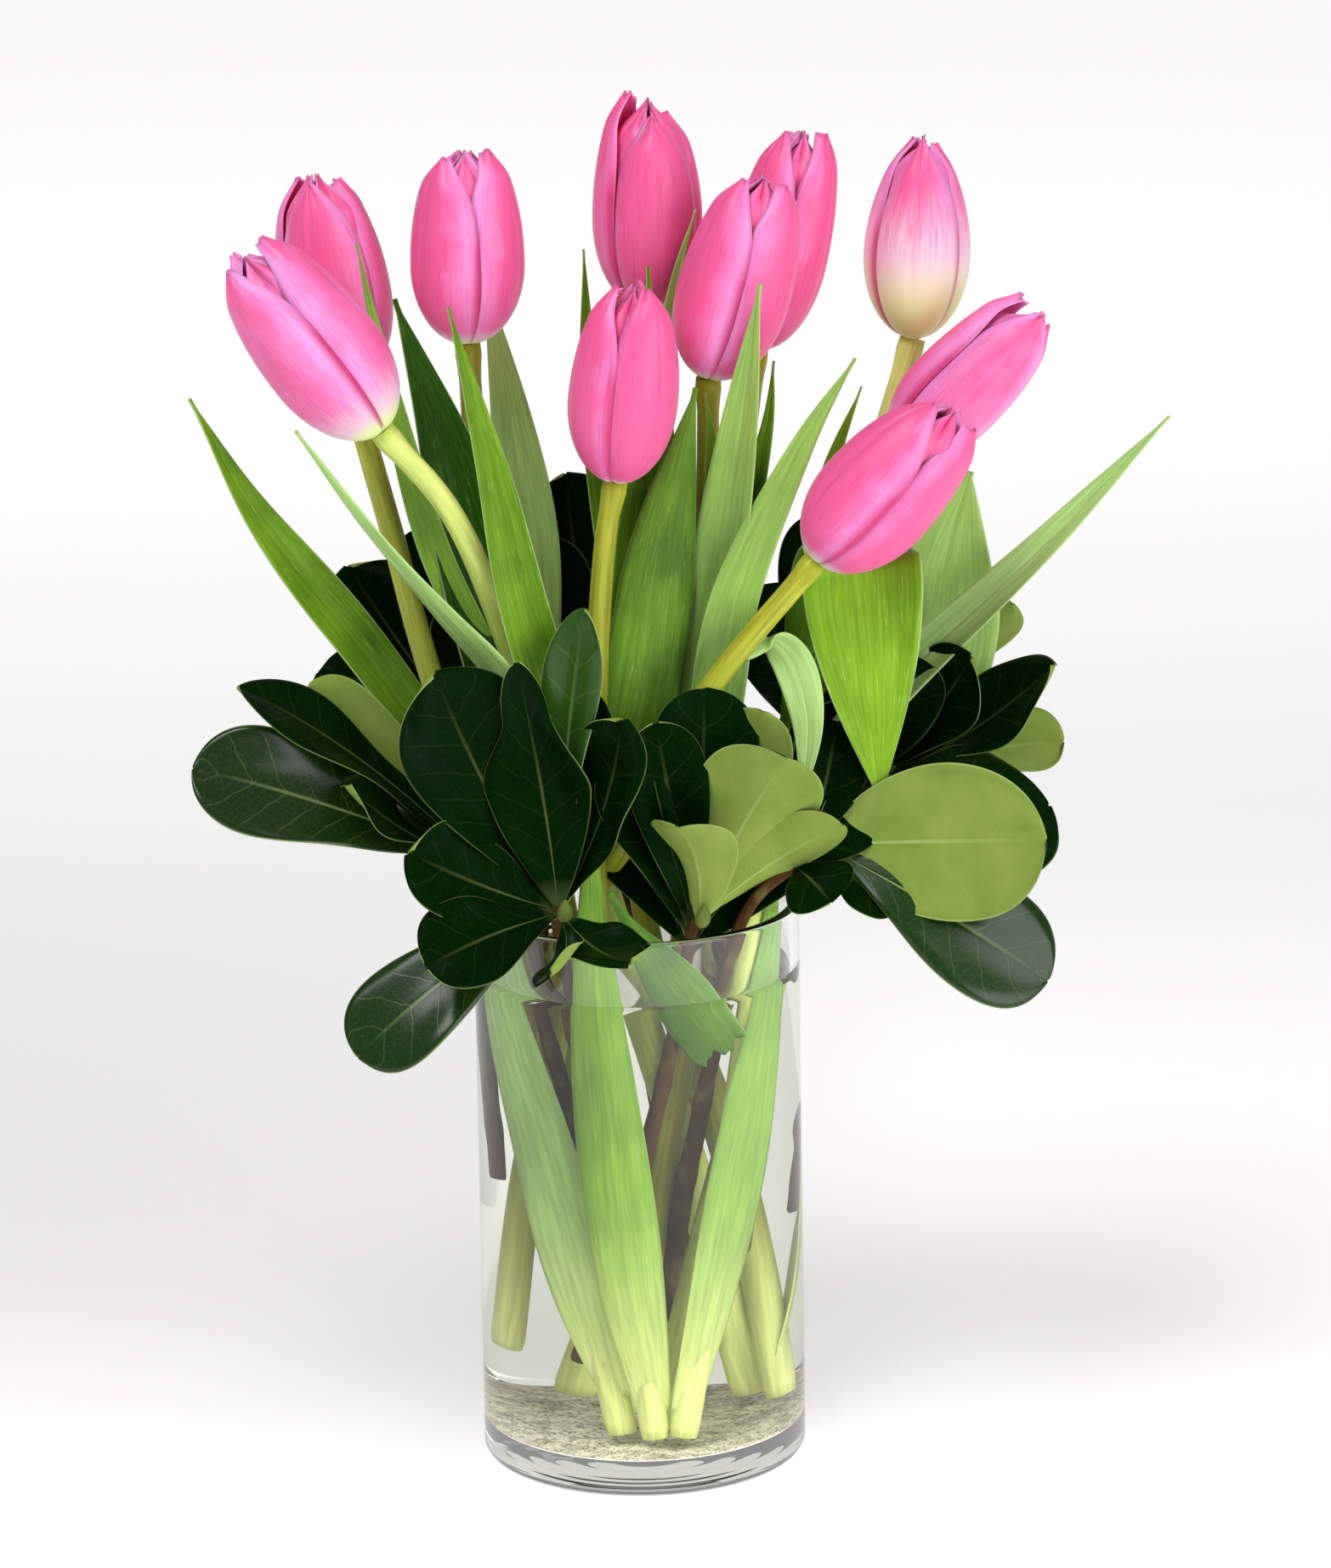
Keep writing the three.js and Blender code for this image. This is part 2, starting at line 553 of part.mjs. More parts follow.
function looseStrip(grow = 0) {
  const curve = curveThrough(LOOSE_STRIP.points);
  const surface = (u, v) => {
    const half = LOOSE_STRIP.width / 2 * (0.1 + 0.9 * smooth(v / 0.7));
    const { across, normal } = leafAxes(curve, v, LOOSE_STRIP);
    return curve.getPointAt(v).addScaledVector(across, u * half).addScaledVector(normal, 0.15 * half * u * u);
  };
  return blade(surface, LEAF_COLUMNS, TULIP_LEAF_ROWS, TULIP_LEAF_THICKNESS, grow);
}

// ---------------------------------------------------------------- assembly

const LEAF_GREEN = { color: 0x5f9a36, roughness: 0.5, metalness: 0 };
const FOLIAGE_GREEN = { color: 0x12401c, roughness: 0.3, metalness: 0 };
const PETAL_PINK = { color: 0xee5fae, roughness: 0.55, metalness: 0 };
const CLEAR_GLASS = { color: 0xf2f6f5, roughness: 0.05, metalness: 0 };
const CLEAR_WATER = { color: 0xe8efe4, roughness: 0.05, metalness: 0 };
const GREY_SILT = { color: 0x8b8374, roughness: 0.9, metalness: 0 };

// Each plant piece with its own body and a slightly larger copy, which cuts room for it in others.
const plants = [];
const addPlant = (name, finish, make) => plants.push({ name, finish, body: make(0), room: make(GAP) });

TULIPS.forEach((tulip, i) => addPlant(`tulip_bloom_${i + 1}`, PETAL_PINK, (grow) => bloom(tulip, grow)));
TULIPS.forEach((tulip, i) => addPlant(`tulip_stem_${i + 1}`, LEAF_GREEN, (grow) => tulipStem(tulip, grow)));
addPlant('leaf_strip', LEAF_GREEN, looseStrip);
SPRAYS.forEach((twig, i) => addPlant(`foliage_${i + 1}`, FOLIAGE_GREEN, (grow) => spray(twig, grow)));

// Where two plants touch, the later one is notched round the earlier one.
function overlaps(a, b) {
  const p = a.boundingBox();
  const q = b.boundingBox();
  return [0, 1, 2].every((axis) => p.min[axis] < q.max[axis] && q.min[axis] < p.max[axis]);
}

plants.forEach((plant, i) => {
  for (const earlier of plants.slice(0, i)) {
    if (!overlaps(plant.body, earlier.room)) continue;
    if (plant.body.intersect(earlier.body).volume() === 0) continue;
    plant.body = largestPiece(plant.body.subtract(earlier.room));
  }
});

const innerRadius = VASE_DIAMETER / 2 - VASE_WALL;
const siltTop = VASE_FLOOR + GAP + SILT_THICKNESS;
const filling = disc(innerRadius - GAP, siltTop + GAP, WATER_LEVEL);
const holes = fuse(plants.filter(({ room }) => overlaps(room, filling)).map(({ room }) => room));

const tulipsInVase = new THREE.Group();
tulipsInVase.name = 'tulips_in_vase';

function addMesh(name, body, finish) {
  const mesh = new THREE.Mesh(geometryOf(body), new THREE.MeshStandardMaterial(finish));
  mesh.name = name;
  tulipsInVase.add(mesh);
}

addMesh('vase', vase(), CLEAR_GLASS);
addMesh('water', largestPiece(filling.subtract(holes)), CLEAR_WATER);
addMesh('silt', disc(innerRadius - GAP, VASE_FLOOR + GAP, siltTop), GREY_SILT);
plants.forEach(({ name, body, finish }) => addMesh(name, body, finish));

export default tulipsInVase;
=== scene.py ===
"""Pink tulips and sprays of leathery evergreen foliage in a clear glass cylinder of water.

Laid out as an add-on and run as a script. Lengths are in metres, +Z is up, -Y is the front, and the origin
is the middle of the vase's foot. Every shape is a grid of points worked out with numpy.
"""

import math

import bpy
import numpy as np
from bpy.props import FloatProperty, FloatVectorProperty, PointerProperty
from mathutils import Matrix, Vector


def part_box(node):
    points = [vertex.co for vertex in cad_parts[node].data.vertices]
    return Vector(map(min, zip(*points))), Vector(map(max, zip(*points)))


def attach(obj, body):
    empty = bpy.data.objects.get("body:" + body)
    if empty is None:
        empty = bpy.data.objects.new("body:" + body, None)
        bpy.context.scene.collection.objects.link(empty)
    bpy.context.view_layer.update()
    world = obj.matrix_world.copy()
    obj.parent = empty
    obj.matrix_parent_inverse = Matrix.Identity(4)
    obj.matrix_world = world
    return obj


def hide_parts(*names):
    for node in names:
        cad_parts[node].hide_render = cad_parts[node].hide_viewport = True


bl_info = {
    "name": "Tulips in a Vase",
    "version": (1, 0, 0),
    "blender": (4, 5, 0),
    "location": "3D View > Sidebar > Tulips",
    "description": "Builds cut tulips and evergreen foliage in a glass cylinder of water",
    "category": "Add Mesh",
}

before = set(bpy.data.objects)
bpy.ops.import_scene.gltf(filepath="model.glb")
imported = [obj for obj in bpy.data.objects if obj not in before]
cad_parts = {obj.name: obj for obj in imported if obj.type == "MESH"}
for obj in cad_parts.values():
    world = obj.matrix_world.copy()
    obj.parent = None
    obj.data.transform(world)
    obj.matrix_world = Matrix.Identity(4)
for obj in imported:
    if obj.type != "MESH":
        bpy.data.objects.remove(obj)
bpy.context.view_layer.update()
VASE_LOW, VASE_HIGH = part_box("vase")
WATER_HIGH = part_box("water")[1]
SILT_LOW, SILT_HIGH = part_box("silt")

MM = 0.001
CLEARANCE = 0.3 * MM
UP = np.array((0.0, 0.0, 1.0))
SIDEWAYS = np.array((1.0, 0.0, 0.0))
SEED = 7
# What a wave may start from, close to a full turn.
ANY_PHASE = (0.0, 6.28)
# Faces round the glass and the water, and the radius of the corner inside between the wall and floor.
GLASS_SIDES = 192
INNER_ROUNDING = 2.5 * MM
# What the soft lights are turned to.
BOUQUET_MIDDLE = Vector((0.0, 0.0, 0.22))
# Where each skin stands in the materials of a stem and of a spray, after the stem's skin and the bark.
TULIP_LEAF_SKIN = 1
EVERGREEN_SKIN, POLISHED_SKIN = 1, 2

# ---------------------------------------------------------------- layout, in millimetres
# stem: points from the cut foot up to the bloom, or up to the heart of the whorl. bloom: where its tip
# is, its radius, how far it is turned, how far its tips close in, and how far up the pale base reaches.
# tips: how far each outer petal reaches, as a part of the bloom's length, and tone, its shade of pink,
# partly the bloom's own and partly painted shade, deeper on blooms that stand in shade.
# leaf: points from the stem out to the tip, full width, the way the inner face looks (or, on a leaf that
# folds over, the way to its left edge), fold, how far the edges stand up from the midrib as a part of the
# half width, tone, from -1 for deep green to 1 for bright green, pale, from 0 to 1, and point, how
# straight the sides run to the tip. Tone and pale are partly the leaf's own green and partly painted
# light, brighter on leaves that stand in shade.
# paddle: an evergreen leaf's tip, full width, the way its upper face looks, how far it bows, how deeply it
# is cupped, how much its edges wave, and how soon it widens from its stalk: a low neck is a round leaf.
# blunt: how square its end is, pinch: how much its last third narrows, and young: how light its green is
# and, if above 0, that it shines.
# shade and pale, on a tulip, from 0 to 1: shade is painted shade that darkens its stem's skin where the
# stem stands in shade, and pale is how pale the skin is, partly its own colour and partly painted light.


def mm(values):
    """Points in metres from points in millimetres."""
    return np.array(values, float) * MM


def tulip(stem, bloom, leaves, shade=0.0, pale=0.0):
    return {"stem": mm(stem), "bloom": bloom, "leaves": leaves, "shade": shade, "pale": pale}


def bloom(tip, radius, turn, close, pale=0.1, tips=(0.97, 0.99, 1.01), tone=0.0):
    return {"tip": mm(tip), "radius": radius * MM, "turn": math.radians(turn), "close": close, "pale": pale,
            "tips": tips, "tone": tone}


def leaf(points, width, fold, face=None, side=None, widest=0.35, tone=0.0, pale=0.0, point=1.0):
    return {"points": mm(points), "width": width * MM, "face": face, "side": side, "fold": fold,
            "widest": widest, "tone": tone, "pale": pale, "point": point}


def spray(stem, leaves):
    return {"stem": mm(stem), "leaves": leaves}


def paddle(tip, width, face, arch, cup=0.3, wave=0.06, neck=1.1, blunt=3.2, pinch=0.0, young=0.0):
    return {"tip": mm(tip), "width": width * MM, "face": face, "arch": arch * MM, "cup": cup, "wave": wave,
            "neck": neck, "blunt": blunt, "pinch": pinch, "young": young}


TULIPS = (
    tulip(
        stem=((22, 18, 16), (10, 7, 100), (-8, -3, 182), (-31, -21, 250), (-52, -29, 310), (-75, -30, 341)),
        bloom=bloom(tip=(-116, -31, 397), radius=18.6, turn=108, close=0.38, pale=0.24, tone=0.1),
        pale=0.7,
        leaves=(
            leaf(((-20, -13, 218), (-40, -30, 259), (-58, -35, 283), (-81, -37, 313), (-101, -36, 343)),
                 width=17, face=(0.6, 0.5, 0.6), fold=0.25, tone=0.8, pale=0.8),
        ),
    ),
    tulip(
        stem=((-6, -27, 16), (-22, -19, 100), (-40, -7, 182), (-63, 2, 256), (-74, 7, 300), (-86, 14, 345)),
        bloom=bloom(tip=(-95, 10, 411), radius=17.6, turn=20, close=0.42, pale=0.08, tone=-0.15),
        pale=0.15,
        leaves=(
            leaf(((-8, -28, 28), (-18, -28, 65), (-28, -25, 110), (-38, -18, 150), (-45, -15, 186),
                  (-52, -13, 215)),
                 width=21, face=(0.4, 0.9, 0.2), fold=0.2, tone=1.0, pale=0.9),
            leaf(((-50, -4, 210), (-64, -9, 236), (-84, -12, 267), (-114, -17, 310), (-134, -18, 349)),
                 width=18, face=(0.5, -0.8, 0.5), fold=0.35, tone=0.1),
        ),
    ),
    tulip(
        stem=((-2, 40, 16), (-13, 30, 100), (-24, 18, 182), (-36, 10, 250), (-46, 6, 310), (-49, 4, 360)),
        bloom=bloom(tip=(-49, 4, 420), radius=18, turn=100, close=0.38, pale=0.14),
        shade=0.6,
        leaves=(
            leaf(((-32, 12, 230), (-47, -6, 266), (-61, -11, 300), (-72, -13, 345), (-82, -13, 396)),
                 width=10, face=(0.2, -1, 0.1), fold=0.2, tone=0.5, pale=0.15),
            leaf(((-29, 14, 208), (-39, -3, 256), (-48, -5, 294), (-58, -5, 334), (-71, -4, 376)),
                 width=28, face=(0.3, -1, 0.2), fold=0.3, tone=-1.0),
            leaf(((-30, 16, 215), (-32, 27, 255), (-32, 30, 290), (-36, 31, 325), (-44, 32, 375)),
                 width=20, face=(0.1, -1, 0.2), fold=0.2, tone=1.0, pale=0.75),
        ),
    ),
    tulip(
        stem=((31, 8, 16), (18, 15, 100), (1, 18, 182), (0, 22, 250), (4, 24, 310), (7, 24, 365)),
        bloom=bloom(tip=(8, 26, 429), radius=17, turn=38, close=0.42, pale=0.1, tips=(0.95, 1.05, 0.95),
                    tone=-0.45),
        shade=0.4,
        leaves=(
            leaf(((30, 9, 30), (35, 12, 60), (40, 17, 120), (41, 20, 170), (45, 25, 215)),
                 width=17, face=(-0.9, -0.4, 0), fold=0.2, pale=0.4),
            leaf(((1, 21, 222), (4, 12, 275), (8, 8, 320), (15, 8, 374), (22, 8, 400)),
                 width=12, face=(0, -1, 0.2), fold=0.2, tone=0.3, pale=0.4),
            leaf(((0, 22, 240), (-8, 33, 300), (-12, 38, 340), (-13, 42, 380)),
                 width=10, face=(0.3, -1, 0.2), fold=0.2),
        ),
    ),
    tulip(
        stem=((3, -33, 16), (-5, -30, 100), (-12, -28, 182), (-11, -28, 255), (-8, -27, 300),
              (-4, -26, 323)),
        bloom=bloom(tip=(3, -30, 385), radius=16.8, turn=69, close=0.45, pale=0.08, tone=-0.5),
        shade=0.25,
        leaves=(
            leaf(((3, -34, 24), (-3, -41, 66), (-9, -42, 120), (-13, -40, 172), (-14, -38, 225)),
                 width=21, face=(0, 1, 0.1), fold=0.3, tone=0.6, pale=0.1),
            leaf(((-13, -28, 205), (-24, -33, 249), (-34, -36, 290), (-42, -34, 330), (-54, -28, 379)),
                 width=16, face=(0.3, -1, 0.3), fold=0.25, tone=0.1),
            leaf(((-12, -28, 212), (-1, -25, 236), (5, -22, 262), (11, -19, 301), (21, -14, 349)),
                 width=27, face=(-0.2, 1, 0.3), fold=0.3, tone=0.1),
        ),
    ),
    tulip(
        stem=((-5, 2, 16), (5, -3, 100), (16, -2, 182), (21, 3, 250), (24, 3, 310), (25, -1, 349)),
        bloom=bloom(tip=(43, -5, 412), radius=17.8, turn=90, close=0.4, pale=0.12, tone=-0.15),
        shade=0.4,
        leaves=(
            leaf(((16, -1, 208), (4, -5, 255), (5, -5, 300), (8, -5, 340), (7, -4, 385)),
                 width=20, face=(0, -1, 0.1), fold=0.25, tone=-0.1),
            leaf(((19, 0, 225), (24, -8, 275), (26, -9, 320), (24, -9, 346)),
                 width=11, face=(0.2, -1, 0), fold=0.2),
            leaf(((17, -1, 200), (22, -10, 244), (28, -14, 290), (35, -18, 338), (41, -25, 384)),
                 width=22, face=(-0.5, -1, 0.3), fold=0.3, tone=0.3, pale=0.4),
            leaf(((19, 0, 216), (29, -9, 265), (36, -12, 304), (43, -14, 337), (45, -14, 357)),
                 width=12, face=(-0.3, -1, 0.2), fold=0.3),
            leaf(((18, -1, 206), (25, -16, 240), (33, -24, 286), (53, -22, 331), (70, -16, 358)),
                 width=17, face=(-0.3, -1, 0.4), fold=0.2, tone=0.5, pale=0.4),
        ),
    ),
    tulip(
        stem=((-14, 22, 16), (4, 25, 100), (22, 27, 182), (30, 28, 250), (35, 30, 310), (40, 32, 350)),
        bloom=bloom(tip=(56, 34, 418), radius=15.8, turn=95, close=0.38, pale=0.08, tone=-0.25),
        shade=0.3,
        leaves=(),
    ),
    tulip(
        stem=((11, -33, 16), (24, -25, 100), (36, -17, 182), (58, 6, 270), (78, 22, 320), (89, 30, 353)),
        bloom=bloom(tip=(93, 30, 416), radius=16.6, turn=22, close=0.6, pale=0.58),
        pale=1.0,
        leaves=(
            leaf(((12, -33, 24), (22, -34, 66), (33, -29, 120), (41, -20, 172), (45, -17, 205)),
                 width=20, face=(-0.6, 0.8, 0.1), fold=0.2, tone=0.6, pale=0.3),
            leaf(((47, -7, 228), (54, -5, 270), (61, -4, 315), (72, -4, 346)),
                 width=10, face=(-0.3, -1, 0.2), fold=0.2),
            leaf(((42, -12, 205), (64, -10, 232), (87, -5, 256), (128, -2, 294), (167, 0, 334)),
                 width=15, face=(-0.4, -0.9, 0.45), fold=0.3, tone=-0.6, pale=0.65),
            leaf(((55, -2, 252), (62, -12, 272), (70, -21, 294), (72, -26, 276), (76, -30, 220)),
                 width=37, side=(-1, 0, 0.1), fold=0.12, widest=0.42, tone=0.75, point=1.05),
        ),
    ),
    tulip(
        stem=((4, -20, 16), (21, -6, 100), (38, 8, 182), (60, 8, 250), (75, 3, 295), (83, 4, 323)),
        bloom=bloom(tip=(127, 4, 367), radius=15.6, turn=35, close=0.35, pale=0.2, tone=0.05),
        pale=0.5,
        leaves=(
            leaf(((47, 9, 210), (70, 15, 228), (92, 18, 248), (98, 16, 285), (106, 13, 314)),
                 width=38, face=(0, -1, 0.2), fold=0.1, widest=0.6, tone=1.0, pale=0.6),
        ),
    ),
    tulip(
        stem=((-31, 8, 34), (-26, 0, 100), (-14, -14, 182), (-1, -31, 212), (22, -34, 256), (57, -34, 299)),
        bloom=bloom(tip=(99, -38, 346), radius=18.6, turn=95, close=0.4, pale=0.12, tone=-0.2),
        shade=0.05,
        leaves=(
            leaf(((34, -31, 269), (42, -26, 272), (50, -27, 264), (54, -30, 246), (52, -33, 222)),
                 width=13, side=(-1, 0.3, 0), fold=0.1, tone=0.5, pale=1.0),
        ),
    ),
)

SPRAYS = (
    spray(
        stem=((10, -6, 36), (-10, -20, 110), (-24, -35, 182), (-22, -52, 192)),
        leaves=(
            paddle(tip=(-26, -86, 184), width=21, face=(-0.7, 0, 0.8), arch=-4),
            paddle(tip=(-2, -77, 184), width=27, face=(0.2, -0.7, 0.7), arch=-5, neck=0.8),
            paddle(tip=(-64, -74, 183), width=31, face=(0.1, -0.8, 0.7), arch=5),
            paddle(tip=(-35, -59, 275), width=38, face=(-0.15, -1, 0.2), arch=-7, cup=0.4, wave=0.05,
                   neck=0.8, blunt=2.6, pinch=0.6),
            paddle(tip=(-69, -62, 216), width=31, face=(0.1, -0.9, 0.6), arch=-4, neck=0.9),
            paddle(tip=(-86, -63, 151), width=33, face=(-0.2, -0.72, 0.67), arch=7, cup=0.15, wave=0.03,
                   young=0.12),
            paddle(tip=(-60, -60, 272), width=43, face=(0.35, -0.9, 0.2), arch=-6, cup=0.35, wave=0.04),
            paddle(tip=(-3, -58, 256), width=26, face=(-0.8, -0.7, 0.1), arch=-5, wave=0.1),
            paddle(tip=(-44, -22, 258), width=30, face=(0.5, -0.9, 0.1), arch=2, wave=0.02),
            paddle(tip=(-14, -46, 288), width=19, face=(-0.4, -0.9, 0), arch=4, wave=0.14, young=0.45),
            paddle(tip=(-18, -34, 262), width=30, face=(-0.1, -1, 0.1), arch=3, wave=0.04),
        ),
    ),
    spray(
        stem=((-4, -8, 62), (-18, -16, 120), (-35, -24, 183), (-51, -33, 206)),
        leaves=(
            paddle(tip=(-112, -31, 246), width=27, face=(0.4, -0.5, 0.8), arch=-4),
            paddle(tip=(-135, -45, 239), width=35, face=(0.2, -0.8, 0.6), arch=6, young=0.1),
            paddle(tip=(-88, -56, 236), width=20, face=(0.7, -0.2, 0.8), arch=-3, wave=0.1),
            paddle(tip=(-121, -36, 262), width=23, face=(0.2, -0.5, 0.8), arch=7, wave=0.08),
            paddle(tip=(-100, -22, 258), width=24, face=(-0.2, 0.9, 0.4), arch=5),
            paddle(tip=(-120, -12, 226), width=26, face=(-0.4, 0.7, 0.6), arch=5),
        ),
    ),
    spray(
        stem=((-16, -12, 36), (2, -25, 110), (16, -36, 177), (20, -45, 187)),
        leaves=(
            paddle(tip=(13, -62, 223), width=27, face=(0.5, 0.8, 0.3), arch=6, cup=0.4, wave=0.02, neck=0.8),
            paddle(tip=(47, -58, 243), width=39, face=(-0.2, 0.95, 0.1), arch=6, wave=0.02, neck=0.8),
            paddle(tip=(64, -46, 218), width=22, face=(-0.5, 0.8, 0.2), arch=4, cup=0.4, wave=0.02),
            paddle(tip=(40, -44, 254), width=25, face=(0.4, 0.9, 0.1), arch=5, wave=0.02),
            paddle(tip=(22, -38, 260), width=34, face=(0.2, -1, 0.2), arch=5, wave=0.03),
            paddle(tip=(7, -48, 252), width=26, face=(0.2, -1, 0.3), arch=3),
            paddle(tip=(-6, -38, 240), width=26, face=(0.4, -0.8, 0.3), arch=3),
            paddle(tip=(30, -30, 247), width=30, face=(-0.3, -1, 0.2), arch=3),
            paddle(tip=(0, -12, 212), width=34, face=(0.2, -1, 0.3), arch=2, wave=0.03),
            paddle(tip=(46, -8, 210), width=34, face=(-0.1, -1, 0.3), arch=2, wave=0.03),
        ),
    ),
    spray(
        stem=((4, 10, 36), (12, -9, 100), (33, -33, 184), (62, -26, 207)),
        leaves=(
            paddle(tip=(126, -56, 215), width=50, face=(0.1, 1, -0.15), arch=2, cup=0.0, wave=0.015, neck=0.5,
                   blunt=2.3),
            paddle(tip=(127, -40, 165), width=38, face=(0.0, -0.9, 0.5), arch=7, cup=0.1, wave=0.03,
                   young=0.15),
            paddle(tip=(129, -2, 210), width=48, face=(0.2, -0.9, 0.5), arch=7, cup=0.1, neck=0.8),
            paddle(tip=(80, -38, 187), width=20, face=(-0.3, -0.3, 0.9), arch=2),
            paddle(tip=(100, 2, 198), width=30, face=(0.2, 0.3, 0.9), arch=6),
            paddle(tip=(63, -18, 243), width=26, face=(0.3, -1, 0.2), arch=3),
            paddle(tip=(51, -8, 232), width=28, face=(-0.2, -1, 0.3), arch=3),
            paddle(tip=(60, -46, 193), width=24, face=(-0.1, -0.7, 0.7), arch=3, wave=0.03),
            paddle(tip=(44, -22, 214), width=30, face=(-0.1, -1, 0.1), arch=3, wave=0.03),
            paddle(tip=(68, -22, 222), width=30, face=(0.1, -1, 0.1), arch=3, wave=0.03),
        ),
    ),
    spray(
        stem=((26, -16, 72), (34, -12, 125), (43, -7, 185), (78, 0, 222)),
        leaves=(
            paddle(tip=(105, -14, 262), width=28, face=(-0.5, -0.8, 0.3), arch=-4),
            paddle(tip=(131, -4, 256), width=27, face=(-0.2, -0.6, 0.8), arch=-6, wave=0.1),
            paddle(tip=(134, 4, 229), width=24, face=(0.2, 0.9, 0.4), arch=5),
            paddle(tip=(68, 4, 250), width=24, face=(0.2, -1, 0.2), arch=4),
            paddle(tip=(128, 22, 220), width=28, face=(0.3, 0.5, 0.8), arch=6),
            paddle(tip=(87, -6, 261), width=28, face=(0.2, -1, 0.3), arch=3),
            paddle(tip=(56, -4, 243), width=26, face=(0.3, -1, 0.3), arch=3),
            paddle(tip=(47, 60, 168), width=34, face=(0.6, 0.7, 0.3), arch=6),
        ),
    ),
    spray(
        stem=((-36, -2, 92), (-34, 13, 137), (-31, 29, 184), (-56, 34, 232)),
        leaves=(
            paddle(tip=(-88, 24, 284), width=34, face=(0.3, -0.9, 0.3), arch=-4),
            paddle(tip=(-99, 40, 245), width=29, face=(0.3, -0.7, 0.7), arch=5),
            paddle(tip=(-64, 44, 291), width=30, face=(0.1, -1, 0.1), arch=4),
            paddle(tip=(-104, 48, 220), width=30, face=(-0.2, 0.3, 0.9), arch=8),
            paddle(tip=(-52, 28, 272), width=30, face=(0.3, -1, 0.2), arch=3),
            paddle(tip=(-64, 84, 250), width=30, face=(-0.2, 0.5, 0.9), arch=7),
            paddle(tip=(-58, 62, 188), width=32, face=(-0.5, 0.8, 0.4), arch=6),
        ),
    ),
    spray(
        stem=((10, 36, 62), (3, 36, 120), (-4, 37, 184), (-12, 46, 240)),
        leaves=(
            paddle(tip=(-20, 42, 308), width=33, face=(0.2, -0.9, 0.3), arch=-4),
            paddle(tip=(-42, 64, 284), width=31, face=(0.5, -0.8, 0.3), arch=4),
            paddle(tip=(12, 60, 295), width=31, face=(-0.3, -0.9, 0.3), arch=4),
            paddle(tip=(-34, 94, 250), width=32, face=(-0.1, 0.4, 0.9), arch=7),
            paddle(tip=(10, 94, 242), width=32, face=(0.1, 0.4, 0.9), arch=7),
            paddle(tip=(-36, 44, 285), width=34, face=(0.2, -1, 0.2), arch=3),
            paddle(tip=(7, 34, 276), width=30, face=(-0.2, -1, 0.2), arch=3),
            paddle(tip=(24, 22, 206), width=34, face=(0.1, -1, 0.3), arch=3, wave=0.03),
            paddle(tip=(-34, 18, 212), width=34, face=(-0.1, -1, 0.3), arch=3, wave=0.03),
            paddle(tip=(-28, 72, 188), width=34, face=(-0.2, 0.9, 0.4), arch=6),
            paddle(tip=(6, 74, 186), width=34, face=(0.1, 0.9, 0.4), arch=6),
        ),
    ),
    spray(
        stem=((30, 24, 72), (30, 28, 125), (28, 33, 184), (64, 40, 226)),
        leaves=(
            paddle(tip=(119, 26, 268), width=33, face=(-0.2, 0.9, 0.4), arch=5),
            paddle(tip=(94, 46, 279), width=30, face=(-0.2, -0.9, 0.3), arch=-4),
            paddle(tip=(62, 50, 292), width=31, face=(-0.1, -0.9, 0.2), arch=4),
            paddle(tip=(112, 68, 230), width=32, face=(0.3, 0.4, 0.9), arch=7),
            paddle(tip=(60, 94, 238), width=32, face=(0.1, 0.5, 0.9), arch=7),
            paddle(tip=(40, 36, 272), width=32, face=(0.1, -1, 0.2), arch=3),
            paddle(tip=(40, 74, 180), width=34, face=(0.3, 0.9, 0.4), arch=6),
        ),
    ),
)

LOOSE_STRIP = leaf(((-8, -45, 197), (-1, -44, 184), (8, -41, 170), (16, -38, 157), (24, -33, 142)),
                   width=19, face=(-0.1, 0.95, 0.2), fold=0.15, tone=-0.35)

# ---------------------------------------------------------------- settings that a user would change


def length_property(name, description, default):
    return FloatProperty(name=name, description=description, default=default, min=0.0, unit="LENGTH")


def colour_property(name, description, default):
    return FloatVectorProperty(name=name, description=description, default=srgb(default), size=3, min=0.0,
                               max=1.0, subtype="COLOR")


def srgb(code):
    """Linear red, green and blue from an sRGB hex colour."""
    parts = [int(code[i:i + 2], 16) / 255 for i in (1, 3, 5)]
    return tuple(c / 12.92 if c <= 0.04045 else ((c + 0.055) / 1.055) ** 2.4 for c in parts)


class VaseSettings(bpy.types.PropertyGroup):
    """Sizes and colours of the glass, the water and the silt."""

    diameter: length_property("Diameter", "Outer diameter of the glass", VASE_HIGH.x - VASE_LOW.x)
    height: length_property("Height", "Height of the glass", VASE_HIGH.z - VASE_LOW.z)
    wall: length_property("Wall", "Thickness of the glass wall", VASE_HIGH.x - WATER_HIGH.x - CLEARANCE)
    floor: length_property("Floor", "Thickness of the glass floor", SILT_LOW.z - CLEARANCE)
    rounding: length_property("Foot rounding", "Radius of the outer edge of the foot", 4 * MM)
    water_level: length_property("Water level", "Height of the water over the table", WATER_HIGH.z)
    meniscus: length_property("Meniscus", "How far the water climbs the glass", 1.6 * MM)
    silt_light: colour_property("Silt, light", "Pale grains of the silt", "#f6f0dc")
    silt_dark: colour_property("Silt, dark", "Brown flecks of the silt", "#75694f")


class TulipSettings(bpy.types.PropertyGroup):
    """Sizes and colours of the blooms, stems and tulip leaves."""

    petal_thickness: length_property("Petal thickness", "Thickness at the middle of a petal", 0.6 * MM)
    leaf_thickness: length_property("Leaf thickness", "Thickness at the midrib of a tulip leaf", 1.0 * MM)
    foot_radius: length_property("Stem foot", "Radius of a stem at its cut foot", 4.3 * MM)
    neck_radius: length_property("Stem neck", "Radius of a stem under its bloom", 3.4 * MM)
    petal_middle: colour_property("Petal middle", "Warm pink down the middle of a petal", "#fa629e")
    petal_margin: colour_property("Petal margin", "Cool light pink along a petal's edges", "#fca0e2")
    petal_base: colour_property("Petal base", "Pale green yellow at a petal's foot", "#f2ffa6")
    leaf_bright: colour_property("Leaf, bright", "Young yellow green of a tulip leaf", "#7fad26")
    leaf_deep: colour_property("Leaf, deep", "Deep green of a tulip leaf", "#1d4706")
    stem_green: colour_property("Stem", "Yellow green of a stem above the water", "#9da22c")
    blanched: colour_property("Blanched", "Pale green of stems and leaf bases under water", "#e6f29a")


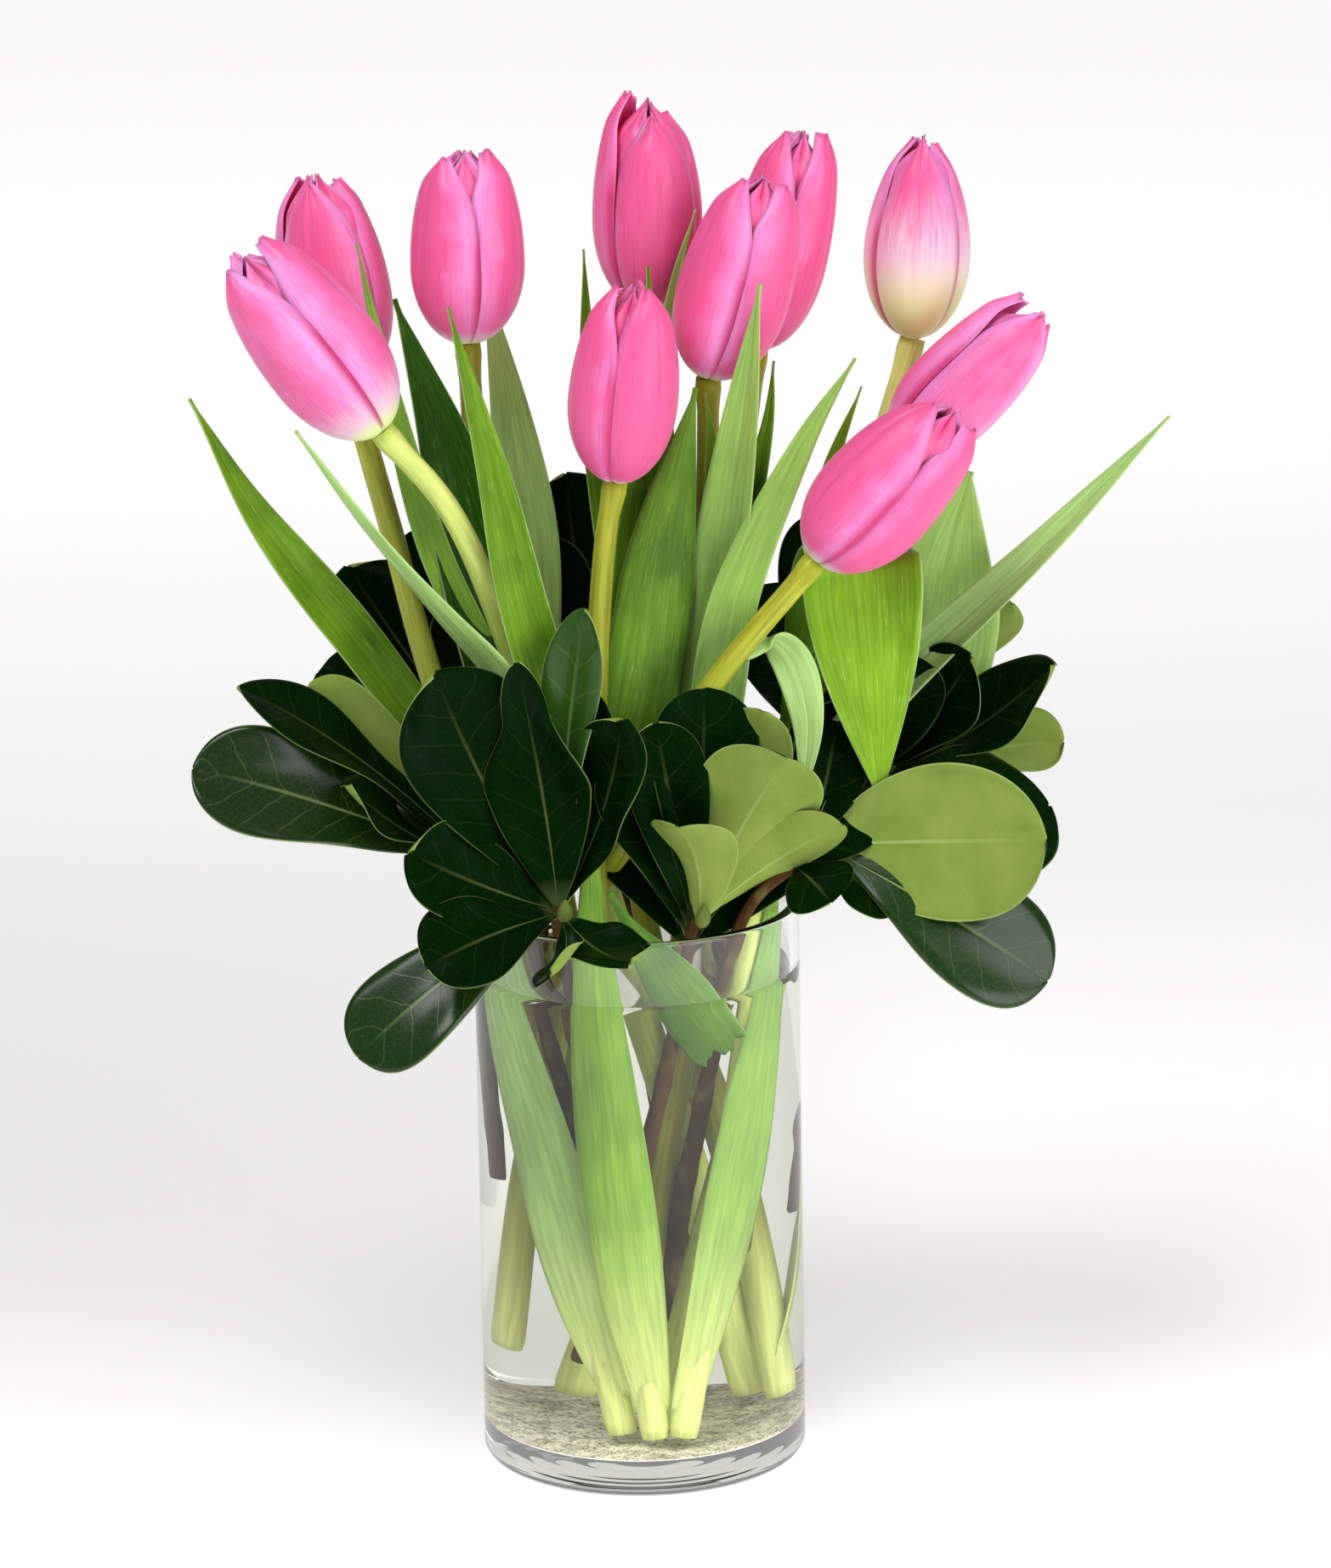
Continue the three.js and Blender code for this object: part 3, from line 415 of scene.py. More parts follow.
class FoliageSettings(bpy.types.PropertyGroup):
    """Sizes and colours of the evergreen sprays."""

    leaf_thickness: length_property("Leaf thickness", "Thickness of a leathery leaf", 0.8 * MM)
    foot_radius: length_property("Twig foot", "Radius of a twig at its cut foot", 2.9 * MM)
    tip_radius: length_property("Twig tip", "Radius of a twig at its whorl", 1.7 * MM)
    upper: colour_property("Upper face", "Very dark green of a leaf's glossy upper face", "#031503")
    under: colour_property("Under face", "Olive green of a leaf's matt under face", "#6d8535")
    vein: colour_property("Veins", "Pale green of the midrib and margin", "#a3bb70")
    bark: colour_property("Bark", "Brown of the woody twigs", "#553819")


class StageSettings(bpy.types.PropertyGroup):
    """The floor and the light of the studio."""

    floor: colour_property("Floor", "Colour of the plain floor", "#f4f3f3")
    key_power: FloatProperty(name="Key light", description="Power of the large soft key light",
                             default=31.0, min=0.0, unit="POWER")
    fill_power: FloatProperty(name="Fill light", description="Power of the soft light from the other side",
                              default=24.0, min=0.0, unit="POWER")
    ambient: FloatProperty(name="Ambient", description="Strength of the even light from all round",
                           default=0.23, min=0.0)


# ---------------------------------------------------------------- curves and grids of points


def unit(vectors):
    """Each vector over its own length."""
    return vectors / np.maximum(np.linalg.norm(vectors, axis=-1, keepdims=True), 1e-12)


def ease(x, low=0.0, high=1.0):
    """Smooth step: 0 up to low, 1 from high, and 3t^2 - 2t^3 between."""
    t = np.clip((x - low) / (high - low), 0, 1)
    return t * t * (3 - 2 * t)


def curve_through(points):
    """A Catmull-Rom curve through the points, with slopes of half the step between a point's neighbours.
    Returns a function of the share of its length, which gives points and unit directions, and its
    length."""
    ends = (2 * points[0] - points[1], 2 * points[-1] - points[-2])
    knots = np.vstack([ends[0], points, ends[1]])

    def spans(s):
        i = np.clip(np.floor(s).astype(int), 0, len(points) - 2)
        w = (s - i)[:, None]
        a, b = knots[i + 1], knots[i + 2]
        slope_a, slope_b = (b - knots[i]) / 2, (knots[i + 3] - a) / 2
        cubic = 2 * a - 2 * b + slope_a + slope_b
        square = 3 * b - 3 * a - 2 * slope_a - slope_b
        return a + w * (slope_a + w * (square + w * cubic)), slope_a + w * (2 * square + 3 * w * cubic)

    dense = np.linspace(0, len(points) - 1, 600)
    steps = np.linalg.norm(np.diff(spans(dense)[0], axis=0), axis=1)
    run = np.concatenate([[0.0], np.cumsum(steps)])

    def at(t):
        place, direction = spans(np.interp(np.ravel(t) * run[-1], run, dense))
        return place.reshape(*np.shape(t), 3), unit(direction).reshape(*np.shape(t), 3)

    return at, run[-1]


def grid(columns, rows, spacing=lambda t: t):
    """u from -1 to 1 across and v from 0 to 1 along, as arrays of rows by columns. Columns stand closer
    at the midrib, and spacing sets how the rows are spread."""
    even = np.linspace(-1, 1, columns)
    across = even * (0.7 + 0.3 * even ** 2)
    return np.meshgrid(across, spacing(np.linspace(0, 1, rows)))


def closer_at_tip(t):
    """Spreads rows by a quarter of a sine wave."""
    return np.sin(math.pi / 2 * t)


def shell(middle, upper, lower):
    """A closed blade from a grid of middle points: one face upper, and one face lower, away from them
    along the surface's normal, and a strip of faces round the rim that joins the two."""
    normal = unit(np.cross(np.gradient(middle, axis=1), np.gradient(middle, axis=0)))
    rows, columns = middle.shape[:2]
    top = (middle + normal * upper[..., None]).reshape(-1, 3)
    bottom = (middle - normal * lower[..., None]).reshape(-1, 3)
    index = np.arange(rows * columns).reshape(rows, columns)
    quads = np.stack([index[:-1, :-1], index[:-1, 1:], index[1:, 1:], index[1:, :-1]], -1).reshape(-1, 4)
    rim = np.concatenate([index[0, :-1], index[:-1, -1], index[-1, :0:-1], index[:0:-1, 0]])
    after = np.roll(rim, -1)
    count = rows * columns
    strip = np.stack([rim, rim + count, after + count, after], -1)
    faces = np.concatenate([quads, quads[:, ::-1] + count, strip])
    return {"points": np.concatenate([top, bottom]), "faces": faces.tolist()}


def both_faces(values):
    """The same values for the vertices of a shell's two faces."""
    flat = values.reshape(-1, *values.shape[2:])
    return np.concatenate([flat, flat])


def blade(middle, u, v, width, length, thickness, seed, upper_relief=0.0, lower_relief=0.0):
    """A shell that is thickness thick at its midrib and a third of it at its edges, plus a relief on each
    face, and that carries where each point lies on it. grain: metres across and along, and a seed. place:
    0 at the midrib to 1 at the edge, 0 at the foot to 1 at the tip, and 0 on the upper face or 1 below."""
    half = thickness / 2 * (1 - 0.67 * np.abs(u) ** 5)
    part = shell(middle, half + upper_relief, half + lower_relief)
    part["grain"] = both_faces(np.stack([u * width / 2, v * length, np.full_like(u, seed)], -1))
    side = np.repeat((0.0, 1.0), u.size)[:, None]
    part["place"] = np.hstack([both_faces(np.stack([np.abs(u), v], -1)), side])
    return part


def tube(at, length, radius, rows, sides, seed):
    """A round tube along a curve: radius(v, angle) out from the curve, on rings turned by the X axis,
    with a slightly rounded cut at each end."""
    v = np.linspace(0, 1, rows)
    centre, along = at(v)
    back = unit(np.cross(along, SIDEWAYS))
    side = np.cross(back, along)
    angle = 2 * math.pi * np.arange(sides) / sides
    r = radius(v[:, None], angle[None, :])
    r[[0, -1]] *= 0.9
    ring = side[:, None] * np.cos(angle)[None, :, None] + back[:, None] * np.sin(angle)[None, :, None]
    points = centre[:, None] + ring * r[..., None]
    index = np.arange(rows * sides).reshape(rows, sides)
    after = np.roll(index, -1, axis=1)
    quads = np.stack([index[:-1], after[:-1], after[1:], index[1:]], -1).reshape(-1, 4)
    across, up = np.broadcast_arrays(angle[None, :], v[:, None])
    grain = np.stack([r * np.cos(across) + seed, up * length, r * np.sin(across)], -1)
    place = np.stack([np.zeros_like(up), up, np.zeros_like(up)], -1)
    return {
        "points": points.reshape(-1, 3),
        "faces": [*quads.tolist(), index[0, ::-1].tolist(), index[-1].tolist()],
        "grain": grain.reshape(-1, 3),
        "place": place.reshape(-1, 3),
    }


def turned(profile, sides):
    """A profile of radius and height, from the axis and back to it, turned round the Z axis. Each end on
    the axis is one point."""
    angle = 2 * math.pi * np.arange(sides) / sides
    ring = np.stack([np.cos(angle), np.sin(angle), np.zeros(sides)], -1)
    body = profile[1:-1]
    points = ring[None] * body[:, None, None, 0] + UP * body[:, None, None, 1]
    count = len(body) * sides
    index = np.arange(count).reshape(len(body), sides)
    after = np.roll(index, -1, axis=1)
    quads = np.stack([index[:-1], after[:-1], after[1:], index[1:]], -1).reshape(-1, 4)
    start = np.stack([np.full(sides, count), after[0], index[0]], -1)
    end = np.stack([np.full(sides, count + 1), index[-1], after[-1]], -1)
    poles = UP * profile[[0, -1], 1][:, None]
    return {"points": np.concatenate([points.reshape(-1, 3), poles]),
            "faces": [*quads.tolist(), *start.tolist(), *end.tolist()]}


def arc(centre, radius, start, end, count):
    """Points of radius and height on an arc about a centre, from one angle to another in degrees."""
    angle = np.radians(np.linspace(start, end, count))
    return np.stack([centre[0] + radius * np.cos(angle), centre[1] + radius * np.sin(angle)], -1)


# ---------------------------------------------------------------- leaves and petals as surfaces


def leaf_axes(along, face, side):
    """The way across a leaf and its inner face's normal, from either the way that its inner face looks or
    the way to its side."""
    across = np.cross(along, face) if side is None else np.broadcast_to(np.array(side, float), along.shape)
    across = unit(across - along * np.sum(across * along, axis=-1, keepdims=True))
    return across, unit(np.cross(across, along))


def tulip_leaf_surface(form, u, v):
    """Long lance: half the width rises over the lower part by a sine and closes to the tip by a power of
    a cosine. The edges stand up towards the inner face by fold times the half width times u squared, and
    wave slowly along the leaf."""
    at, length = curve_through(form["points"])
    centre, along = at(v)
    across, normal = leaf_axes(along, form["face"], form["side"])
    rise = 0.45 + 0.55 * np.sin(math.pi / 2 * np.minimum(v / form["widest"], 1))
    beyond = np.maximum(v - form["widest"], 0) / (1 - form["widest"])
    taper = np.cos(math.pi / 2 * beyond) ** form["point"]
    half = form["width"] / 2 * np.maximum(rise * taper, 0.06)
    wave = 0.06 * form["width"] * np.sin(3 * math.pi * v + 1.5 * u + 40 * length) * u ** 2
    lift = form["fold"] * half * u ** 2 + wave * taper
    return centre + across * (u * half)[..., None] + normal * lift[..., None], length


def foliage_leaf_surface(base, form, u, v, phase, twist):
    """Blunt paddle on a short stalk along a quadratic curve, bowed at its middle by its arch. Half the
    width goes as v^neck (1 - v^blunt)^0.5, over that formula's own peak, less its pinch near the end. The
    face is cupped by u squared, its margins roll back by the seventh power of u, its edges wave, and it
    twists evenly."""
    end = form["tip"]
    reach = np.linalg.norm(end - base)
    start = base + (end - base) * 0.5 * MM / reach
    bow = (start + end) / 2 + unit(np.array(form["face"], float)) * 2 * form["arch"]
    w = v[..., None]
    centre = (1 - w) ** 2 * start + 2 * w * (1 - w) * bow + w ** 2 * end
    along = unit(2 * (1 - w) * (bow - start) + 2 * w * (end - bow))
    level, facing = leaf_axes(along, form["face"], None)
    lean = (twist * v)[..., None]
    across = level * np.cos(lean) + facing * np.sin(lean)
    normal = facing * np.cos(lean) - level * np.sin(lean)
    neck, blunt = form["neck"], form["blunt"]
    widest = neck / (neck + blunt / 2)
    peak = widest ** (neck / blunt) * (1 - widest) ** 0.5
    outline = v ** neck * np.maximum(1 - v ** blunt, 0) ** 0.5 / peak
    outline = outline * (1 - form["pinch"] * ease(v, 0.5, 0.8))
    half = np.maximum(form["width"] / 2 * outline, 0.9 * MM)
    wave = form["wave"] * form["width"] * np.sin(3.4 * math.pi * v + 1.6 * u + phase) * u ** 2
    roll = 0.1 * np.abs(u) ** 7
    lift = half * (form["cup"] * u ** 2 - roll) + wave * ease(v, 0.1, 0.4)
    return centre + across * (u * half)[..., None] + normal * lift[..., None], reach


def petal_surface(u, w, radius, length, close, turn, half_angle, taper, lap, bulge, bend, hook, ruffle):
    """Petal of a closed cup: a quarter ellipse out from the foot to the widest level, then closing in to
    its tip by its close times a power of the height, with the last part of the tip hooked in further.
    The angle that it spans is even up to its taper, and fades to the tip. Across, it is rounder than the
    cup: its edges fall in by bulge times u squared. One edge lies a little outside its neighbour, the other
    dips in and lies a little inside, the sides undulate, and the rim is ruffled."""
    start, widest = 0.03, 0.45
    shoulder = 0.42 * length
    v = start + (1 - start) * w
    lower = np.minimum(v / widest, 1) * math.pi / 2
    upper = np.maximum(v - widest, 0) / (1 - widest)
    fade = np.maximum(1 - (np.maximum(v - taper, 0) / (1 - taper)) ** 2.6, 0) ** 0.62
    angle = turn + u * half_angle * np.maximum(fade, 0.06)
    fall = bulge * u ** 2 * (0.35 + 0.65 * np.sin(lower)) + 0.5 * MM * np.abs(u) ** 7
    crease = 0.4 * MM * np.exp(-(u / 0.07) ** 2) * ease(v, 0.15, 0.5)
    curl = hook * ease(v, 0.84, 1.0) ** 1.5
    size, phase = ruffle
    r = radius * (np.sin(lower) - close * upper ** bend) + lap * u * np.sin(lower) - fall - crease - curl
    r = r - 0.3 * MM * ease(-u, 0.5, 0.95) * ease(v, 0.1, 0.4)
    r = r + 0.5 * size * np.sin(2.4 * u + phase) * np.sin(math.pi * v)
    r = r + size * np.sin(6 * u + phase) * upper ** 2.5
    z = shoulder * (1 - np.cos(lower)) + (length - shoulder) * upper
    z = z + 1.3 * size * (np.sin(8 * u + 2 * phase) + 0.5 * np.sin(15 * u + phase)) * upper ** 4
    r = np.maximum(r, 0.6 * MM)
    return np.stack([r * np.cos(angle), r * np.sin(angle), z], -1)


# ---------------------------------------------------------------- meshes


def joined(parts):
    """Several parts as one, with their material numbers: one for a whole part, or one for each face."""
    counts = np.cumsum([0] + [len(part["points"]) for part in parts])
    whole = {"points": np.concatenate([part["points"] for part in parts]), "faces": [], "material": []}
    for part, first in zip(parts, counts):
        whole["faces"] += [[corner + int(first) for corner in face] for face in part["faces"]]
        kinds = part.get("material", 0)
        whole["material"] += kinds if isinstance(kinds, list) else [kinds] * len(part["faces"])
    for name in ("grain", "place", "look"):
        if name in parts[0]:
            whole[name] = np.concatenate([part[name] for part in parts])
    return whole


def make_piece(name, parts, materials, node_name):
    """Puts the parts into one mesh object at the origin, which rides on the body and stands for a node."""
    whole = joined(parts)
    mesh = bpy.data.meshes.new(name)
    mesh.from_pydata(whole["points"], [], whole["faces"])
    mesh.polygons.foreach_set("use_smooth", np.ones(len(mesh.polygons), bool))
    mesh.polygons.foreach_set("material_index", np.array(whole["material"], np.int32))
    for attribute in ("grain", "place", "look"):
        if attribute in whole:
            made = mesh.attributes.new(attribute, "FLOAT_VECTOR", "POINT")
            made.data.foreach_set("vector", whole[attribute].astype(np.float32).ravel())
    for material in materials:
        mesh.materials.append(material)
    mesh.update()
    piece = bpy.data.objects.new(name, mesh)
    bpy.context.scene.collection.objects.link(piece)
    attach(piece, "root")
    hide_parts(node_name)


def with_look(part, tone, paleness=0.0):
    """The part with the same look at every point: its tone, and how pale or young it is. The third value
    isn't used."""
    part["look"] = np.tile((tone, paleness, 0.0), (len(part["points"]), 1))
    return part


# ---------------------------------------------------------------- materials

# The sockets of a colour mix and of a map range, by number. Those of a math node go by their order.
MIX_FACTOR, MIX_A, MIX_B, MIX_RESULT = 0, 6, 7, 2
VALUE, FROM_LOW, FROM_HIGH, TO_LOW, TO_HIGH = range(5)


def node(tree, kind, inputs=None, **settings):
    """Adds a node with its own settings. inputs gives a socket, by name or number, a value, a link, or a
    node whose result is linked."""
    made = tree.nodes.new(kind)
    for name, value in settings.items():
        setattr(made, name, value)
    for socket, value in (inputs or {}).items():
        if isinstance(value, bpy.types.Node):
            value = value.outputs[MIX_RESULT if value.bl_idname == "ShaderNodeMix" else 0]
        if isinstance(value, bpy.types.NodeSocket):
            tree.links.new(value, made.inputs[socket])
        else:
            made.inputs[socket].default_value = value
    return made


def material_named(name):
    """A new material with an empty node tree."""
    material = bpy.data.materials.new(name)
    material.use_nodes = True
    material.node_tree.nodes.clear()
    return material, material.node_tree


def rgba(colour):
    return (*colour, 1.0)


def lengthwise_streaks(tree, grain, across, along, detail, roughness=0.5, through=1.0):
    """Noise that is drawn out lengthwise, in streaks about across wide and along long, in metres. through
    is their size in the third direction, for a round piece."""
    lengthwise = node(tree, "ShaderNodeMapping", {"Vector": grain,
                                                  "Scale": (1 / across, 1 / along, 1 / through)})
    return node(tree, "ShaderNodeTexNoise", {"Vector": lengthwise, "Scale": 1.0, "Detail": detail,
                                             "Roughness": roughness})


def clear_to_light(tree, shader):
    """Lets light through to what stands inside, unbent, and ends the tree. The eye still sees the shader,
    bent and mirrored."""
    path = node(tree, "ShaderNodeLightPath")
    clear = node(tree, "ShaderNodeBsdfTransparent")
    mixed = node(tree, "ShaderNodeMixShader", {0: path.outputs["Is Shadow Ray"], 1: shader, 2: clear})
    node(tree, "ShaderNodeOutputMaterial", {"Surface": mixed})


def clear_material(name, colour, ior, mirroring="#ffffff"):
    """Smooth clear stuff. mirroring is the colour, and so the strength, of what it mirrors."""
    material, tree = material_named(name)
    shader = node(tree, "ShaderNodeBsdfPrincipled", {
        "Base Color": rgba(srgb(colour)), "Roughness": 0.0, "IOR": ior, "Transmission Weight": 1.0,
        "Specular Tint": rgba(srgb(mirroring))})
    clear_to_light(tree, shader)
    return material


def soda_lime_glass():
    """Soda-lime glass, blown and fire-polished: mirror smooth, and clear with hardly any tint."""
    return clear_material("soda_lime_glass", "#fbfdfc", 1.5)


def wetted_glass():
    """The inner face of the glass below the waterline: as clear as the rest, but next to water it hardly
    mirrors."""
    return clear_material("wetted_glass", "#fbfdfc", 1.5, "#303030")


def vase_water():
    """Water that stems have stood in: clear, bending what stands in it, with a faint green cast. Against
    the glass it hardly mirrors."""
    return clear_material("vase_water", "#faf9f0", 1.33, "#505050")


def fine_silt(vase):
    """Fine grey silt and brown plant flecks settled on the glass floor: matt, and patchy. It casts no
    shadow, so that the clear foot below it stays bright."""
    material, tree = material_named("fine_silt")
    where = node(tree, "ShaderNodeTexCoord").outputs["Object"]
    patches = node(tree, "ShaderNodeTexNoise", {"Vector": where, "Scale": 1 / (6 * MM), "Detail": 6.0,
                                                "Roughness": 0.7, "Distortion": 0.6})
    flecks = node(tree, "ShaderNodeTexNoise", {"Vector": where, "Scale": 1 / (1.0 * MM), "Detail": 3.0})
    broad = node(tree, "ShaderNodeMapRange", {VALUE: patches, FROM_LOW: 0.42, FROM_HIGH: 0.72})
    small = node(tree, "ShaderNodeMapRange", {VALUE: flecks, FROM_LOW: 0.52, FROM_HIGH: 0.68})
    amount = node(tree, "ShaderNodeMath", {0: broad, 1: small}, operation="ADD", use_clamp=True)
    colour = node(tree, "ShaderNodeMix", {
        MIX_FACTOR: amount, MIX_A: rgba(vase.silt_light), MIX_B: rgba(vase.silt_dark)}, data_type="RGBA")
    bump = node(tree, "ShaderNodeBump", {"Strength": 0.6, "Distance": 0.4 * MM, "Height": flecks})
    shader = node(tree, "ShaderNodeBsdfPrincipled", {
        "Base Color": colour, "Roughness": 0.9, "Normal": bump})
    clear_to_light(tree, shader)
    return material


def tulip_petal(tulips):
    """Tulip petal: waxy living skin with a satin sheen. Warm pink down the middle, cool light pink at the
    edges, a pale foot, and fine darker streaks that run from foot to tip. look: how far up the pale foot
    reaches here, from 0 to 1, and the petal's shade of pink, partly its own and partly painted shade."""
    material, tree = material_named("tulip_petal")
    grain = node(tree, "ShaderNodeAttribute", attribute_name="grain").outputs["Vector"]
    place = node(tree, "ShaderNodeAttribute", attribute_name="place").outputs["Vector"]
    look = node(tree, "ShaderNodeAttribute", attribute_name="look").outputs["Vector"]
    from_midrib, along, _ = node(tree, "ShaderNodeSeparateXYZ", {0: place}).outputs
    foot_here, pink_tone_and_painted_shade, _ = node(tree, "ShaderNodeSeparateXYZ", {0: look}).outputs
    # The real streaks are finer still: these are drawn as coarse as they need to show.
    streaks = lengthwise_streaks(tree, grain, 0.7 * MM, 14 * MM, 3.0, 0.6)
    blotches = node(tree, "ShaderNodeTexNoise", {"Vector": grain, "Scale": 1 / (11 * MM), "Detail": 2.0})
    edge = node(tree, "ShaderNodeMapRange", {
        VALUE: from_midrib, FROM_LOW: 0.2, FROM_HIGH: 1.1, TO_LOW: 0.0, TO_HIGH: 0.9,
    }, interpolation_type="SMOOTHSTEP")
    cool = node(tree, "ShaderNodeMath", {0: edge, 1: pink_tone_and_painted_shade}, operation="ADD")
    uneven = node(tree, "ShaderNodeMath", {0: blotches, 1: 0.9, 2: -0.45}, operation="MULTIPLY_ADD")
    cooler = node(tree, "ShaderNodeMath", {0: cool, 1: uneven}, operation="ADD", use_clamp=True)
    flesh = node(tree, "ShaderNodeMix", {
        MIX_FACTOR: cooler, MIX_A: rgba(tulips.petal_middle), MIX_B: rgba(tulips.petal_margin),
    }, data_type="RGBA")
    line = node(tree, "ShaderNodeMapRange", {
        VALUE: streaks, FROM_LOW: 0.5, FROM_HIGH: 0.75, TO_LOW: 0.0, TO_HIGH: 0.45})
    lined = node(tree, "ShaderNodeMix", {
        MIX_FACTOR: line, MIX_A: flesh, MIX_B: rgba(srgb("#cf3a7c"))}, data_type="RGBA")
    # The pale foot: first whitish, with a streaked edge, and then yellow green.
    ragged = node(tree, "ShaderNodeMath", {0: streaks, 1: 0.7, 2: -0.35}, operation="MULTIPLY_ADD")
    foot = node(tree, "ShaderNodeMath", {0: foot_here, 1: ragged}, operation="ADD")
    whiter = node(tree, "ShaderNodeMapRange", {
        VALUE: foot, FROM_LOW: 0.2, FROM_HIGH: 0.75}, interpolation_type="SMOOTHSTEP")
    yellower = node(tree, "ShaderNodeMapRange", {
        VALUE: foot_here, FROM_LOW: 0.62, FROM_HIGH: 0.95}, interpolation_type="SMOOTHSTEP")
    whitish = node(tree, "ShaderNodeMix", {
        MIX_FACTOR: whiter, MIX_A: lined, MIX_B: rgba(srgb("#f9cbdc"))}, data_type="RGBA")
    footed = node(tree, "ShaderNodeMix", {
        MIX_FACTOR: yellower, MIX_A: whitish, MIX_B: rgba(tulips.petal_base)}, data_type="RGBA")
    # Painted shade: along a petal's very edges, below the crown, a deeper pink stands in for the shade in the
    # groove where the petals overlap.
    brink = node(tree, "ShaderNodeMapRange", {
        VALUE: from_midrib, FROM_LOW: 0.76, FROM_HIGH: 0.96, TO_LOW: 0.0, TO_HIGH: 0.85,
    }, interpolation_type="SMOOTHSTEP")
    below_crown = node(tree, "ShaderNodeMapRange", {
        VALUE: along, FROM_LOW: 0.55, FROM_HIGH: 0.85, TO_LOW: 1.0, TO_HIGH: 0.0})
    painted_seam_shade = node(tree, "ShaderNodeMath", {0: brink, 1: below_crown}, operation="MULTIPLY")
    colour = node(tree, "ShaderNodeMix", {
        MIX_FACTOR: painted_seam_shade, MIX_A: footed, MIX_B: rgba(srgb("#d4206a"))}, data_type="RGBA")
    bump = node(tree, "ShaderNodeBump", {"Strength": 0.35, "Distance": 0.12 * MM, "Height": streaks})
    shader = node(tree, "ShaderNodeBsdfPrincipled", {
        "Base Color": colour, "Roughness": 0.38, "IOR": 1.4,
        "Subsurface Weight": 0.5, "Subsurface Radius": (1.0, 0.4, 0.55), "Subsurface Scale": 2.2 * MM,
        "Sheen Weight": 0.12, "Sheen Roughness": 0.4, "Sheen Tint": rgba(srgb("#ffd0ec")),
        "Normal": bump})
    node(tree, "ShaderNodeOutputMaterial", {"Surface": shader})
    return material


def blanching(tree, colour, blanched, vase):
    """The colour, paling over the height below the water's surface to what has grown in the dark, and
    streaked lengthwise by its fibres."""
    where = node(tree, "ShaderNodeTexCoord").outputs["Object"]
    _, _, height = node(tree, "ShaderNodeSeparateXYZ", {0: where}).outputs
    grain = node(tree, "ShaderNodeAttribute", attribute_name="grain").outputs["Vector"]
    fibres = lengthwise_streaks(tree, grain, 1.6 * MM, 24 * MM, 4.0, 0.6)
    streak = node(tree, "ShaderNodeMapRange", {
        VALUE: fibres, FROM_LOW: 0.3, FROM_HIGH: 0.7, TO_LOW: 0.8, TO_HIGH: 1.2})
    depth = node(tree, "ShaderNodeMapRange", {
        VALUE: height, FROM_LOW: 15 * MM, FROM_HIGH: 0.65 * vase.water_level, TO_LOW: 0.9, TO_HIGH: 0.0,
    }, interpolation_type="SMOOTHSTEP")
    paled = node(tree, "ShaderNodeMix", {
        MIX_FACTOR: depth, MIX_A: colour, MIX_B: rgba(blanched)}, data_type="RGBA")
    return node(tree, "ShaderNodeMix", {
        MIX_FACTOR: 1.0, MIX_A: paled, MIX_B: streak}, data_type="RGBA", blend_type="MULTIPLY")


